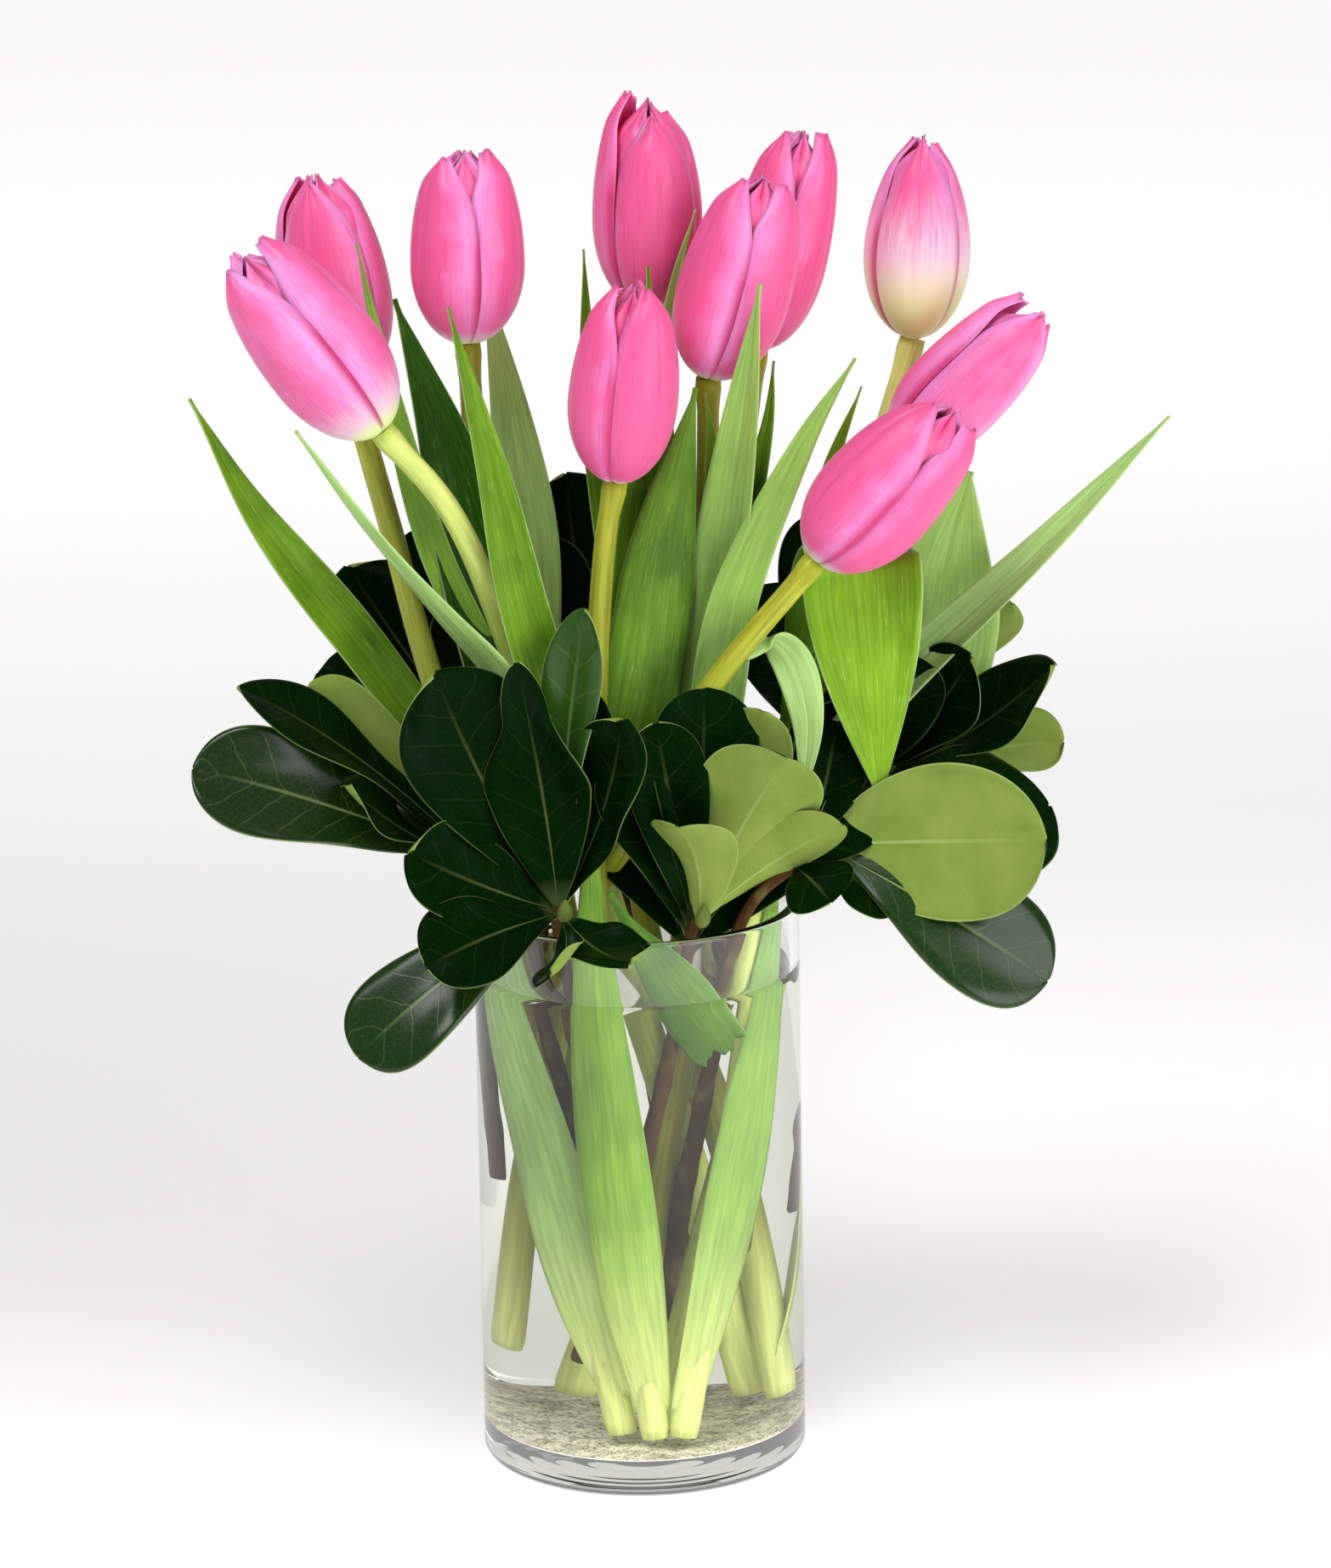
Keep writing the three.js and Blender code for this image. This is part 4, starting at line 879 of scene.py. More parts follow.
def tulip_leaf(tulips, vase):
    """Tulip leaf: smooth waxy blade with close parallel veins. The outer face has a pale bluish bloom, the
    inner face is deeper, and a thin pale margin runs round it. look: tone, and how pale, both partly the
    leaf's own green and partly painted light."""
    material, tree = material_named("tulip_leaf")
    grain = node(tree, "ShaderNodeAttribute", attribute_name="grain").outputs["Vector"]
    place = node(tree, "ShaderNodeAttribute", attribute_name="place").outputs["Vector"]
    look = node(tree, "ShaderNodeAttribute", attribute_name="look").outputs["Vector"]
    from_midrib, _, below = node(tree, "ShaderNodeSeparateXYZ", {0: place}).outputs
    given_tone, paleness, _ = node(tree, "ShaderNodeSeparateXYZ", {0: look}).outputs
    veins = lengthwise_streaks(tree, grain, 0.8 * MM, 45 * MM, 4.0, 0.65)
    broad = node(tree, "ShaderNodeTexNoise", {"Vector": grain, "Scale": 1 / (25 * MM), "Detail": 2.0})
    tone = node(tree, "ShaderNodeMath", {0: given_tone, 1: 0.5, 2: 0.5}, operation="MULTIPLY_ADD")
    patchy = node(tree, "ShaderNodeMath", {0: broad, 1: 1.1, 2: -0.55}, operation="MULTIPLY_ADD")
    shade = node(tree, "ShaderNodeMath", {0: tone, 1: patchy}, operation="ADD", use_clamp=True)
    green = node(tree, "ShaderNodeMix", {
        MIX_FACTOR: shade, MIX_A: rgba(tulips.leaf_deep), MIX_B: rgba(tulips.leaf_bright),
    }, data_type="RGBA")
    paled = node(tree, "ShaderNodeMix", {
        MIX_FACTOR: paleness, MIX_A: green, MIX_B: rgba(srgb("#b6dc88"))}, data_type="RGBA")
    # Veins and short flecks, fainter on a dark leaf.
    vein = node(tree, "ShaderNodeMapRange", {
        VALUE: veins, FROM_LOW: 0.48, FROM_HIGH: 0.72, TO_LOW: 0.0, TO_HIGH: 0.3})
    flecks = lengthwise_streaks(tree, grain, 0.6 * MM, 7 * MM, 2.0)
    fleck = node(tree, "ShaderNodeMapRange", {
        VALUE: flecks, FROM_LOW: 0.6, FROM_HIGH: 0.72, TO_LOW: 0.0, TO_HIGH: 0.55})
    marks = node(tree, "ShaderNodeMath", {0: vein, 1: fleck}, operation="MAXIMUM")
    fainter = node(tree, "ShaderNodeMapRange", {VALUE: shade, TO_LOW: 0.3, TO_HIGH: 1.0})
    marked = node(tree, "ShaderNodeMath", {0: marks, 1: fainter}, operation="MULTIPLY")
    veined = node(tree, "ShaderNodeMix", {
        MIX_FACTOR: marked, MIX_A: paled, MIX_B: rgba(srgb("#aecd5e"))}, data_type="RGBA")
    waxy = node(tree, "ShaderNodeMath", {0: below, 1: 0.08}, operation="MULTIPLY")
    bloomed = node(tree, "ShaderNodeMix", {
        MIX_FACTOR: waxy, MIX_A: veined, MIX_B: rgba(srgb("#8ab47c"))}, data_type="RGBA")
    margin = node(tree, "ShaderNodeMapRange", {
        VALUE: from_midrib, FROM_LOW: 0.965, FROM_HIGH: 0.99, TO_LOW: 0.0, TO_HIGH: 0.45})
    edged = node(tree, "ShaderNodeMix", {
        MIX_FACTOR: margin, MIX_A: bloomed, MIX_B: rgba(srgb("#cfe0a4"))}, data_type="RGBA")
    colour = blanching(tree, edged, tulips.blanched, vase)
    bump = node(tree, "ShaderNodeBump", {"Strength": 0.5, "Distance": 0.15 * MM, "Height": veins})
    shader = node(tree, "ShaderNodeBsdfPrincipled", {
        "Base Color": colour, "Roughness": 0.4, "IOR": 1.33, "Specular Tint": rgba(srgb("#8a8f8a")),
        "Subsurface Weight": 0.08, "Subsurface Radius": (0.5, 1.0, 0.2), "Subsurface Scale": 1.5 * MM,
        "Normal": bump})
    node(tree, "ShaderNodeOutputMaterial", {"Surface": shader})
    return material


def tulip_stem(tulips, vase):
    """Tulip stem: smooth waxy green skin, faintly streaked lengthwise. look: painted shade, and how pale,
    partly its own paleness and partly painted light.
    """
    material, tree = material_named("tulip_stem")
    grain = node(tree, "ShaderNodeAttribute", attribute_name="grain").outputs["Vector"]
    look = node(tree, "ShaderNodeAttribute", attribute_name="look").outputs["Vector"]
    stem_painted_shade, paleness, _ = node(tree, "ShaderNodeSeparateXYZ", {0: look}).outputs
    streaks = lengthwise_streaks(tree, grain, 1.1 * MM, 40 * MM, 3.0, through=1.1 * MM)
    streak = node(tree, "ShaderNodeMapRange", {VALUE: streaks, FROM_LOW: 0.35, FROM_HIGH: 0.7})
    skin = node(tree, "ShaderNodeMix", {
        MIX_FACTOR: streak, MIX_A: rgba(tulips.stem_green), MIX_B: rgba(srgb("#bac23f"))},
        data_type="RGBA")
    # Painted shade: the skin darkens to olive on a stem that stands in shade.
    shaded = node(tree, "ShaderNodeMix", {
        MIX_FACTOR: stem_painted_shade, MIX_A: skin, MIX_B: rgba(srgb("#6a640f"))}, data_type="RGBA")
    # Paleness, partly the stem's own and partly painted light.
    paled = node(tree, "ShaderNodeMix", {
        MIX_FACTOR: paleness, MIX_A: shaded, MIX_B: rgba(srgb("#def08a"))}, data_type="RGBA")
    colour = blanching(tree, paled, tulips.blanched, vase)
    bump = node(tree, "ShaderNodeBump", {"Strength": 0.3, "Distance": 0.1 * MM, "Height": streaks})
    shader = node(tree, "ShaderNodeBsdfPrincipled", {
        "Base Color": colour, "Roughness": 0.38, "IOR": 1.33, "Subsurface Weight": 0.15,
        "Subsurface Radius": (0.7, 1.0, 0.2), "Subsurface Scale": 2.5 * MM, "Normal": bump})
    node(tree, "ShaderNodeOutputMaterial", {"Surface": shader})
    return material


def evergreen_leaf(foliage, name, polish):
    """Leathery evergreen leaf: a polished, very dark green upper face with a sunk pale midrib, side veins
    and a fine net, and a matt olive under face with a raised midrib. polish: how much it mirrors what
    faces it, and how clear its veins are. look: tone, and how young."""
    material, tree = material_named(name)
    grain = node(tree, "ShaderNodeAttribute", attribute_name="grain").outputs["Vector"]
    place = node(tree, "ShaderNodeAttribute", attribute_name="place").outputs["Vector"]
    look = node(tree, "ShaderNodeAttribute", attribute_name="look").outputs["Vector"]
    from_midrib, along, under = node(tree, "ShaderNodeSeparateXYZ", {0: place}).outputs
    sideways, lengthwise, _ = node(tree, "ShaderNodeSeparateXYZ", {0: grain}).outputs
    given_tone, youth, _ = node(tree, "ShaderNodeSeparateXYZ", {0: look}).outputs
    off_midrib = node(tree, "ShaderNodeMath", {0: sideways}, operation="ABSOLUTE")
    # Side veins leave the midrib every 5.5 mm and lean towards the tip.
    lean = node(tree, "ShaderNodeMath", {0: off_midrib, 1: -0.75, 2: lengthwise}, operation="MULTIPLY_ADD")
    wander = node(tree, "ShaderNodeTexNoise", {"Vector": grain, "Scale": 1 / (6 * MM), "Detail": 2.0})
    bent = node(tree, "ShaderNodeMath", {0: wander, 1: 3.5 * MM, 2: lean}, operation="MULTIPLY_ADD")
    turns = node(tree, "ShaderNodeMath", {0: bent, 1: 1 / (5.5 * MM)}, operation="MULTIPLY")
    share = node(tree, "ShaderNodeMath", {0: turns, 1: 1.0}, operation="PINGPONG")
    side_vein = node(tree, "ShaderNodeMapRange", {
        VALUE: share, FROM_LOW: 0.0, FROM_HIGH: 0.09, TO_LOW: 1.0, TO_HIGH: 0.0})
    # Between them lies a net with meshes of 2.2 mm, drawn as coarse as it needs to show. Both fade out
    # before the margin.
    net = node(tree, "ShaderNodeTexVoronoi", {"Vector": grain, "Scale": 1 / (2.2 * MM)},
               feature="DISTANCE_TO_EDGE")
    net_line = node(tree, "ShaderNodeMapRange", {
        VALUE: net.outputs["Distance"], FROM_LOW: 0.0, FROM_HIGH: 0.07, TO_LOW: 0.35, TO_HIGH: 0.0})
    fine = node(tree, "ShaderNodeMath", {0: side_vein, 1: net_line}, operation="MAXIMUM")
    inside = node(tree, "ShaderNodeMapRange", {
        VALUE: from_midrib, FROM_LOW: 0.75, FROM_HIGH: 0.98, TO_LOW: 1.0, TO_HIGH: 0.0})
    fine_inside = node(tree, "ShaderNodeMath", {0: fine, 1: inside}, operation="MULTIPLY")
    # The midrib, the stalk and the margin are the bold lines.
    midrib = node(tree, "ShaderNodeMapRange", {
        VALUE: off_midrib, FROM_LOW: 0.35 * MM, FROM_HIGH: 0.75 * MM, TO_LOW: 1.0, TO_HIGH: 0.0})
    fade = node(tree, "ShaderNodeMapRange", {
        VALUE: along, FROM_LOW: 0.35, FROM_HIGH: 0.95, TO_LOW: 1.0, TO_HIGH: 0.0})
    rib = node(tree, "ShaderNodeMath", {0: midrib, 1: fade}, operation="MULTIPLY")
    stalk = node(tree, "ShaderNodeMapRange", {
        VALUE: along, FROM_LOW: 0.03, FROM_HIGH: 0.13, TO_LOW: 0.8, TO_HIGH: 0.0})
    margin = node(tree, "ShaderNodeMapRange", {
        VALUE: from_midrib, FROM_LOW: 0.972, FROM_HIGH: 0.988, TO_LOW: 0.0, TO_HIGH: 1.0})
    bold = node(tree, "ShaderNodeMath", {0: rib, 1: stalk}, operation="MAXIMUM")
    bolder = node(tree, "ShaderNodeMath", {0: bold, 1: margin}, operation="MAXIMUM")
    patches = node(tree, "ShaderNodeTexNoise", {"Vector": grain, "Scale": 1 / (14 * MM), "Detail": 3.0})
    tone = node(tree, "ShaderNodeMath", {0: given_tone, 1: 0.5, 2: patches}, operation="MULTIPLY_ADD",
                use_clamp=True)
    mature = node(tree, "ShaderNodeMix", {
        MIX_FACTOR: tone, MIX_A: rgba(foliage.upper), MIX_B: rgba(srgb("#062405"))}, data_type="RGBA")
    above = node(tree, "ShaderNodeMix", {
        MIX_FACTOR: youth, MIX_A: mature, MIX_B: rgba(srgb("#3c6a1c"))}, data_type="RGBA")
    below = node(tree, "ShaderNodeMix", {
        MIX_FACTOR: tone, MIX_A: rgba(foliage.under), MIX_B: rgba(srgb("#98aa56"))}, data_type="RGBA")
    both = node(tree, "ShaderNodeMix", {MIX_FACTOR: under, MIX_A: above, MIX_B: below}, data_type="RGBA")
    fineness = node(tree, "ShaderNodeMapRange", {VALUE: under, TO_LOW: 0.022 + 0.07 * polish, TO_HIGH: 0.1})
    faint = node(tree, "ShaderNodeMath", {0: fine_inside, 1: fineness}, operation="MULTIPLY")
    netted = node(tree, "ShaderNodeMix", {
        MIX_FACTOR: faint, MIX_A: both, MIX_B: rgba(foliage.vein)}, data_type="RGBA")
    boldness = node(tree, "ShaderNodeMapRange", {VALUE: under, TO_LOW: 0.17 + 0.33 * polish, TO_HIGH: 0.7})
    clear = node(tree, "ShaderNodeMath", {0: bolder, 1: boldness}, operation="MULTIPLY")
    colour = node(tree, "ShaderNodeMix", {
        MIX_FACTOR: clear, MIX_A: netted, MIX_B: rgba(foliage.vein)}, data_type="RGBA")
    roughness = node(tree, "ShaderNodeMapRange", {VALUE: under, TO_LOW: 0.22, TO_HIGH: 0.6})
    height = node(tree, "ShaderNodeMath", {0: fine_inside, 1: -1.0}, operation="MULTIPLY")
    bump = node(tree, "ShaderNodeBump", {"Strength": 0.25, "Distance": 0.08 * MM, "Height": height})
    shader = node(tree, "ShaderNodeBsdfPrincipled", {
        "Base Color": colour, "Roughness": roughness, "IOR": 1.2 + 0.22 * polish,
        "Specular Tint": rgba((polish, polish, polish)), "Normal": bump})
    node(tree, "ShaderNodeOutputMaterial", {"Surface": shader})
    return material


def woody_bark(foliage):
    """Bark of a young twig: matt brown skin with grey green patches, wrinkled lengthwise."""
    material, tree = material_named("woody_bark")
    grain = node(tree, "ShaderNodeAttribute", attribute_name="grain").outputs["Vector"]
    wrinkles = lengthwise_streaks(tree, grain, 1.0 * MM, 6 * MM, 5.0, 0.7, through=1.0 * MM)
    patches = node(tree, "ShaderNodeTexNoise", {"Vector": grain, "Scale": 1 / (9 * MM)})
    mossy = node(tree, "ShaderNodeMapRange", {VALUE: patches, FROM_LOW: 0.5, FROM_HIGH: 0.7})
    skin = node(tree, "ShaderNodeMix", {
        MIX_FACTOR: mossy, MIX_A: rgba(foliage.bark), MIX_B: rgba(srgb("#716a32"))}, data_type="RGBA")
    dark = node(tree, "ShaderNodeMapRange", {
        VALUE: wrinkles, FROM_LOW: 0.45, FROM_HIGH: 0.65, TO_LOW: 0.0, TO_HIGH: 0.6})
    colour = node(tree, "ShaderNodeMix", {
        MIX_FACTOR: dark, MIX_A: skin, MIX_B: rgba(srgb("#2b1d0e"))}, data_type="RGBA")
    bump = node(tree, "ShaderNodeBump", {"Strength": 0.9, "Distance": 0.4 * MM, "Height": wrinkles})
    shader = node(tree, "ShaderNodeBsdfPrincipled", {
        "Base Color": colour, "Roughness": 0.75, "IOR": 1.25, "Normal": bump})
    node(tree, "ShaderNodeOutputMaterial", {"Surface": shader})
    return material


def studio_floor(stage):
    """Seamless white studio paper that glows with painted light of its own. It is matt, and the glow is
    brightest in front and far behind. The glow is weaker in a band just behind the vase, which paints a grey
    band of shade there, and stronger on the right, where it paints light over the plant's cast shadow."""
    material, tree = material_named("studio_paper")
    where = node(tree, "ShaderNodeTexCoord").outputs["Object"]
    sideways, back, _ = node(tree, "ShaderNodeSeparateXYZ", {0: where}).outputs
    # Painted light: near and far leave a dip between them, which is painted shade in a grey band behind the
    # vase.
    near = node(tree, "ShaderNodeMapRange", {
        VALUE: back, FROM_LOW: -0.15, FROM_HIGH: 0.2, TO_LOW: 0.18, TO_HIGH: 0.0,
    }, interpolation_type="SMOOTHSTEP")
    far = node(tree, "ShaderNodeMapRange", {
        VALUE: back, FROM_LOW: 0.15, FROM_HIGH: 1.6, TO_LOW: 0.2, TO_HIGH: 0.65,
    }, interpolation_type="SMOOTHSTEP")
    # Painted light on the right, over the cast shadow of the plant.
    painted_light_over_shadow = node(tree, "ShaderNodeMapRange", {
        VALUE: sideways, FROM_LOW: -0.06, FROM_HIGH: 0.12, TO_LOW: 0.0, TO_HIGH: 0.22,
    }, interpolation_type="SMOOTHSTEP")
    close_by = node(tree, "ShaderNodeMapRange", {
        VALUE: back, FROM_LOW: 0.25, FROM_HIGH: 0.75, TO_LOW: 1.0, TO_HIGH: 0.0,
    }, interpolation_type="SMOOTHSTEP")
    both = node(tree, "ShaderNodeMath", {0: near, 1: far}, operation="ADD")
    painted_glow = node(tree, "ShaderNodeMath", {0: painted_light_over_shadow, 1: close_by, 2: both}, operation="MULTIPLY_ADD")
    shader = node(tree, "ShaderNodeBsdfPrincipled", {
        "Base Color": rgba(stage.floor), "Roughness": 0.7, "Specular IOR Level": 0.2,
        "Emission Color": rgba(srgb("#fffdfd")), "Emission Strength": painted_glow})
    node(tree, "ShaderNodeOutputMaterial", {"Surface": shader})
    return material


# ---------------------------------------------------------------- operators, one for each kind of piece


class TULIPS_OT_make_stage(bpy.types.Operator):
    """Make the floor, the soft lights and the camera"""

    bl_idname = "tulips.make_stage"
    bl_label = "Stage"

    def execute(self, context):
        settings = context.scene.tulip_stage
        reach = 4.0
        mesh = bpy.data.meshes.new("studio_floor")
        # A hair below the vase's foot, so that the glass keeps a face of its own there.
        level = -0.1 * MM
        corners = [(-reach, -reach), (reach, -reach), (reach, reach), (-reach, reach)]
        mesh.from_pydata([(x, y, level) for x, y in corners], [], [(0, 1, 2, 3)])
        mesh.materials.append(studio_floor(settings))
        floor = bpy.data.objects.new("studio_floor", mesh)
        context.scene.collection.objects.link(floor)
        soft_light("key_light", place=(-0.65, -0.9, 2.1), size=1.2, power=settings.key_power)
        soft_light("fill_light", place=(1.25, -1.4, 0.55), size=1.5, power=settings.fill_power)
        world = bpy.data.worlds.new("studio")
        world.use_nodes = True
        even_light = world.node_tree.nodes["Background"]
        even_light.inputs["Color"].default_value = rgba(srgb("#ffffff"))
        even_light.inputs["Strength"].default_value = settings.ambient
        context.scene.world = world
        context.scene.view_settings.view_transform = "Standard"
        context.scene.camera = photo_camera()
        return {"FINISHED"}


def soft_light(name, place, size, power):
    """A square area light at a place, turned to the middle of the bouquet."""
    light = bpy.data.lights.new(name, "AREA")
    light.size = size
    light.energy = power
    lamp = bpy.data.objects.new(name, light)
    lamp.location = place
    lamp.rotation_euler = (BOUQUET_MIDDLE - lamp.location).to_track_quat("-Z", "Y").to_euler()
    bpy.context.scene.collection.objects.link(lamp)


def photo_camera():
    """The photograph's view: from in front and a little above, slightly rolled, through a long lens."""
    # The tilt, roll and aim were fitted to the ellipses of the rim, the water and the foot.
    distance, elevation, roll = 3.0, math.radians(16.31), math.radians(-0.92)
    aim = Vector((0.0098, 0.0, 0.2185))
    forward = Vector((0.0, math.cos(elevation), -math.sin(elevation)))
    right = Vector(SIDEWAYS)
    up = right.cross(forward)
    turned_right = right * math.cos(roll) + up * math.sin(roll)
    turned_up = up * math.cos(roll) - right * math.sin(roll)
    data = bpy.data.cameras.new("photo_camera")
    data.sensor_fit = "VERTICAL"
    data.sensor_height = 36.0
    data.lens = 220.9
    camera = bpy.data.objects.new("photo_camera", data)
    axes = Matrix((turned_right, turned_up, -forward)).transposed()
    camera.matrix_world = Matrix.Translation(aim - forward * distance) @ axes.to_4x4()
    bpy.context.scene.collection.objects.link(camera)
    return camera


class TULIPS_OT_make_vase(bpy.types.Operator):
    """Make the glass cylinder"""

    bl_idname = "tulips.make_vase"
    bl_label = "Vase"

    def execute(self, context):
        vase = context.scene.tulip_vase
        outer = vase.diameter / 2
        inner = outer - vase.wall
        lip = vase.wall / 2
        turn = vase.rounding
        # The pressed foot is a hair hollow and faintly ringed underneath.
        punt_radius, punt_depth, ring_height, ring_count = 0.86 * outer, 0.3 * MM, 0.035 * MM, 7
        share = np.linspace(0, 1, 60)
        rings = ring_height * (1 - np.cos(2 * math.pi * ring_count * share ** 1.5))
        punt = np.stack([share * punt_radius, punt_depth * (1 - share ** 2) + rings], -1)
        inside, corner = inner - INNER_ROUNDING, vase.floor + INNER_ROUNDING
        profile = np.concatenate([
            punt,
            [(outer - turn - MM, 0.0)],
            arc((outer - turn, turn), turn, -90, 0, 12),
            [(outer, turn + MM), (outer, vase.height - lip - MM)],
            arc((outer - lip, vase.height - lip), lip, 0, 180, 16),
            [(inner, vase.height - lip - MM), (inner, vase.water_level), (inner, corner + MM)],
            arc((inside, corner), INNER_ROUNDING, 0, -90, 8),
            [(inside - MM, vase.floor), (0.0, vase.floor)],
        ])
        part = turned(profile, GLASS_SIDES)
        out, height = np.hypot(part["points"][:, 0], part["points"][:, 1]), part["points"][:, 2]
        tiny = 0.01 * MM
        wet = (out < inner + tiny) & (height > vase.floor / 2) & (height < vase.water_level + tiny)
        part["material"] = [int(wet[face].all()) for face in part["faces"]]
        skins = [soda_lime_glass(), wetted_glass()]
        make_piece("glass_cylinder", [part], skins, "vase")
        return {"FINISHED"}


class TULIPS_OT_make_water(bpy.types.Operator):
    """Make the water, whose surface climbs the glass a little"""

    bl_idname = "tulips.make_water"
    bl_label = "Water"

    def execute(self, context):
        vase = context.scene.tulip_vase
        # The water reaches a hair into the glass, so that no film of air shows between them.
        wet = 0.05 * MM
        radius = vase.diameter / 2 - vase.wall + wet
        low = vase.floor - wet
        inside, corner = radius - INNER_ROUNDING, low + INNER_ROUNDING
        # The climb at the glass fades inwards, to about a third every 1.9 mm.
        fading = 1.9 * MM
        reach = radius * (1 - np.linspace(0, 1, 24) ** 2)
        surface = vase.water_level + vase.meniscus * np.exp(-(radius - reach) / fading)
        profile = np.concatenate([
            [(0.0, low), (inside - MM, low)],
            arc((inside, corner), INNER_ROUNDING, -90, 0, 8),
            [(radius, corner + MM), (radius, vase.water_level - MM)],
            np.stack([reach, surface], -1),
        ])
        make_piece("water_body", [turned(profile, GLASS_SIDES)], [vase_water()], "water")
        return {"FINISHED"}


class TULIPS_OT_make_silt(bpy.types.Operator):
    """Make the thin uneven layer of silt on the glass floor"""

    bl_idname = "tulips.make_silt"
    bl_label = "Silt"

    def execute(self, context):
        vase = context.scene.tulip_vase
        gap_to_glass = 1.6 * MM
        radius = vase.diameter / 2 - vase.wall - gap_to_glass
        rings, sides = 26, 120
        low, high = SILT_LOW.z, SILT_HIGH.z
        out = np.linspace(1, 0, rings)[:-1] * radius
        top = np.stack([out, np.full(rings - 1, high)], -1)
        profile = np.concatenate([[(0.0, low), (radius, low)], top, [(0.0, high)]])
        part = turned(profile, sides)
        x, y, z = part["points"].T
        # Lumps: two crossed waves, 15 and 17 mm long, bent by waves 27 and 33 mm long.
        lumps = np.sin(x * 410 + 3 * np.sin(y * 230)) * np.sin(y * 370 + 2 * np.sin(x * 190))
        thin = ease(np.hypot(x, y), 0.8 * radius, radius)
        drop = (0.35 + 0.25 * lumps + 0.35 * thin) * (high - low)
        part["points"][:, 2] = np.where(z > (low + high) / 2, z - drop, z)
        make_piece("settled_silt", [part], [fine_silt(vase)], "silt")
        return {"FINISHED"}


class TULIPS_OT_make_blooms(bpy.types.Operator):
    """Make the tulip cups, each of three outer and three inner petals"""

    bl_idname = "tulips.make_blooms"
    bl_label = "Blooms"

    def execute(self, context):
        settings = context.scene.tulip_flowers
        skin = tulip_petal(settings)
        draw = np.random.default_rng(SEED)
        for number, plant in enumerate(TULIPS, 1):
            parts = bloom_parts(plant, settings.petal_thickness, draw)
            make_piece(f"bloom_{number}", parts, [skin], f"tulip_bloom_{number}")
        return {"FINISHED"}


def bloom_parts(plant, thickness, draw):
    """The six petals of a cup, made upright and then turned to lie along the line from stem to tip."""
    form = plant["bloom"]
    foot = plant["stem"][-1]
    axis = form["tip"] - foot
    length = np.linalg.norm(axis)
    turn = np.array(Vector(UP).rotation_difference(Vector(axis)).to_matrix())
    radius = form["radius"]
    parts = []
    for i in range(3):
        angle = form["turn"] + math.radians(120 * i)
        outer = {"radius": radius, "length": length * form["tips"][i], "close": form["close"],
                 "turn": angle + draw.uniform(-0.05, 0.05), "half_angle": 1.15, "taper": 0.58,
                 "lap": 0.65 * MM, "bulge": 0.12 * radius, "bend": 2.6 - 1.2 * form["close"],
                 "hook": 2.4 * MM}
        inner = {"radius": radius - 4.3 * MM, "length": length * draw.uniform(0.96, 1.01),
                 "close": form["close"] + 0.1, "turn": angle + math.pi / 3 + draw.uniform(-0.15, 0.15),
                 "half_angle": 1.2, "taper": 0.82, "lap": 0.5 * MM, "bulge": 0.05 * radius, "bend": 2.6,
                 "hook": 5.2 * MM}
        for inward, petal in enumerate((outer, inner)):
            u, w = grid(columns=31, rows=37, spacing=lambda t: t ** 0.9)
            ruffle = ((0.45 + 0.45 * inward) * draw.uniform(0.7, 1.3) * MM, draw.uniform(*ANY_PHASE))
            middle = petal_surface(u, w, ruffle=ruffle, **petal)
            seed = draw.uniform(0, 9)
            part = blade(middle, u, w, 2 * petal["radius"], length, thickness, seed)
            # Partly painted shade: a bloom that stands in shade is given a deeper tone.
            shade = form["tone"] + draw.uniform(-0.12, 0.12) + 0.25 * inward
            pale = 1 - ease(w, 0.0, 2 * form["pale"])
            part["look"] = both_faces(np.stack([pale, np.full_like(w, shade), np.zeros_like(w)], -1))
            part["points"] = part["points"] @ turn.T + foot
            parts.append(part)
    return parts


class TULIPS_OT_make_stems(bpy.types.Operator):
    """Make the tulip stems and the leaves that grow on them"""

    bl_idname = "tulips.make_stems"
    bl_label = "Stems and leaves"

    def execute(self, context):
        settings = context.scene.tulip_flowers
        vase = context.scene.tulip_vase
        skins = [tulip_stem(settings, vase), tulip_leaf(settings, vase)]
        draw = np.random.default_rng(SEED + 1)
        for number, plant in enumerate(TULIPS, 1):
            at, length = curve_through(plant["stem"])
            # The stem widens by this much where it meets the bloom.
            flare = 0.9 * MM

            def radius(v, angle, foot=settings.foot_radius, neck=settings.neck_radius, turn=number):
                ripple = 0.12 * MM * np.sin(2 * angle + turn)
                return foot + (neck - foot) * v + flare * ease(v, 0.965, 1.0) + ripple

            stem = tube(at, length, radius, rows=90, sides=28, seed=number)
            parts = [with_look(stem, plant["shade"], plant["pale"])]
            parts += [tulip_leaf_part(form, settings.leaf_thickness, draw) for form in plant["leaves"]]
            make_piece(f"stem_{number}", parts, skins, f"tulip_stem_{number}")
        return {"FINISHED"}


def tulip_leaf_part(form, thickness, draw):
    """One tulip leaf as a closed blade, with a slight crease along its midrib on the inner face."""
    u, v = grid(columns=25, rows=72)
    middle, length = tulip_leaf_surface(form, u, v)
    crease = -0.25 * MM * np.exp(-(u / 0.06) ** 2)
    seed = draw.uniform(0, 9)
    part = blade(middle, u, v, form["width"], length, thickness, seed, crease, 0.8 * np.abs(crease))
    part["material"] = TULIP_LEAF_SKIN
    return with_look(part, np.clip(form["tone"] + draw.uniform(-0.15, 0.15), -1, 1), form["pale"])


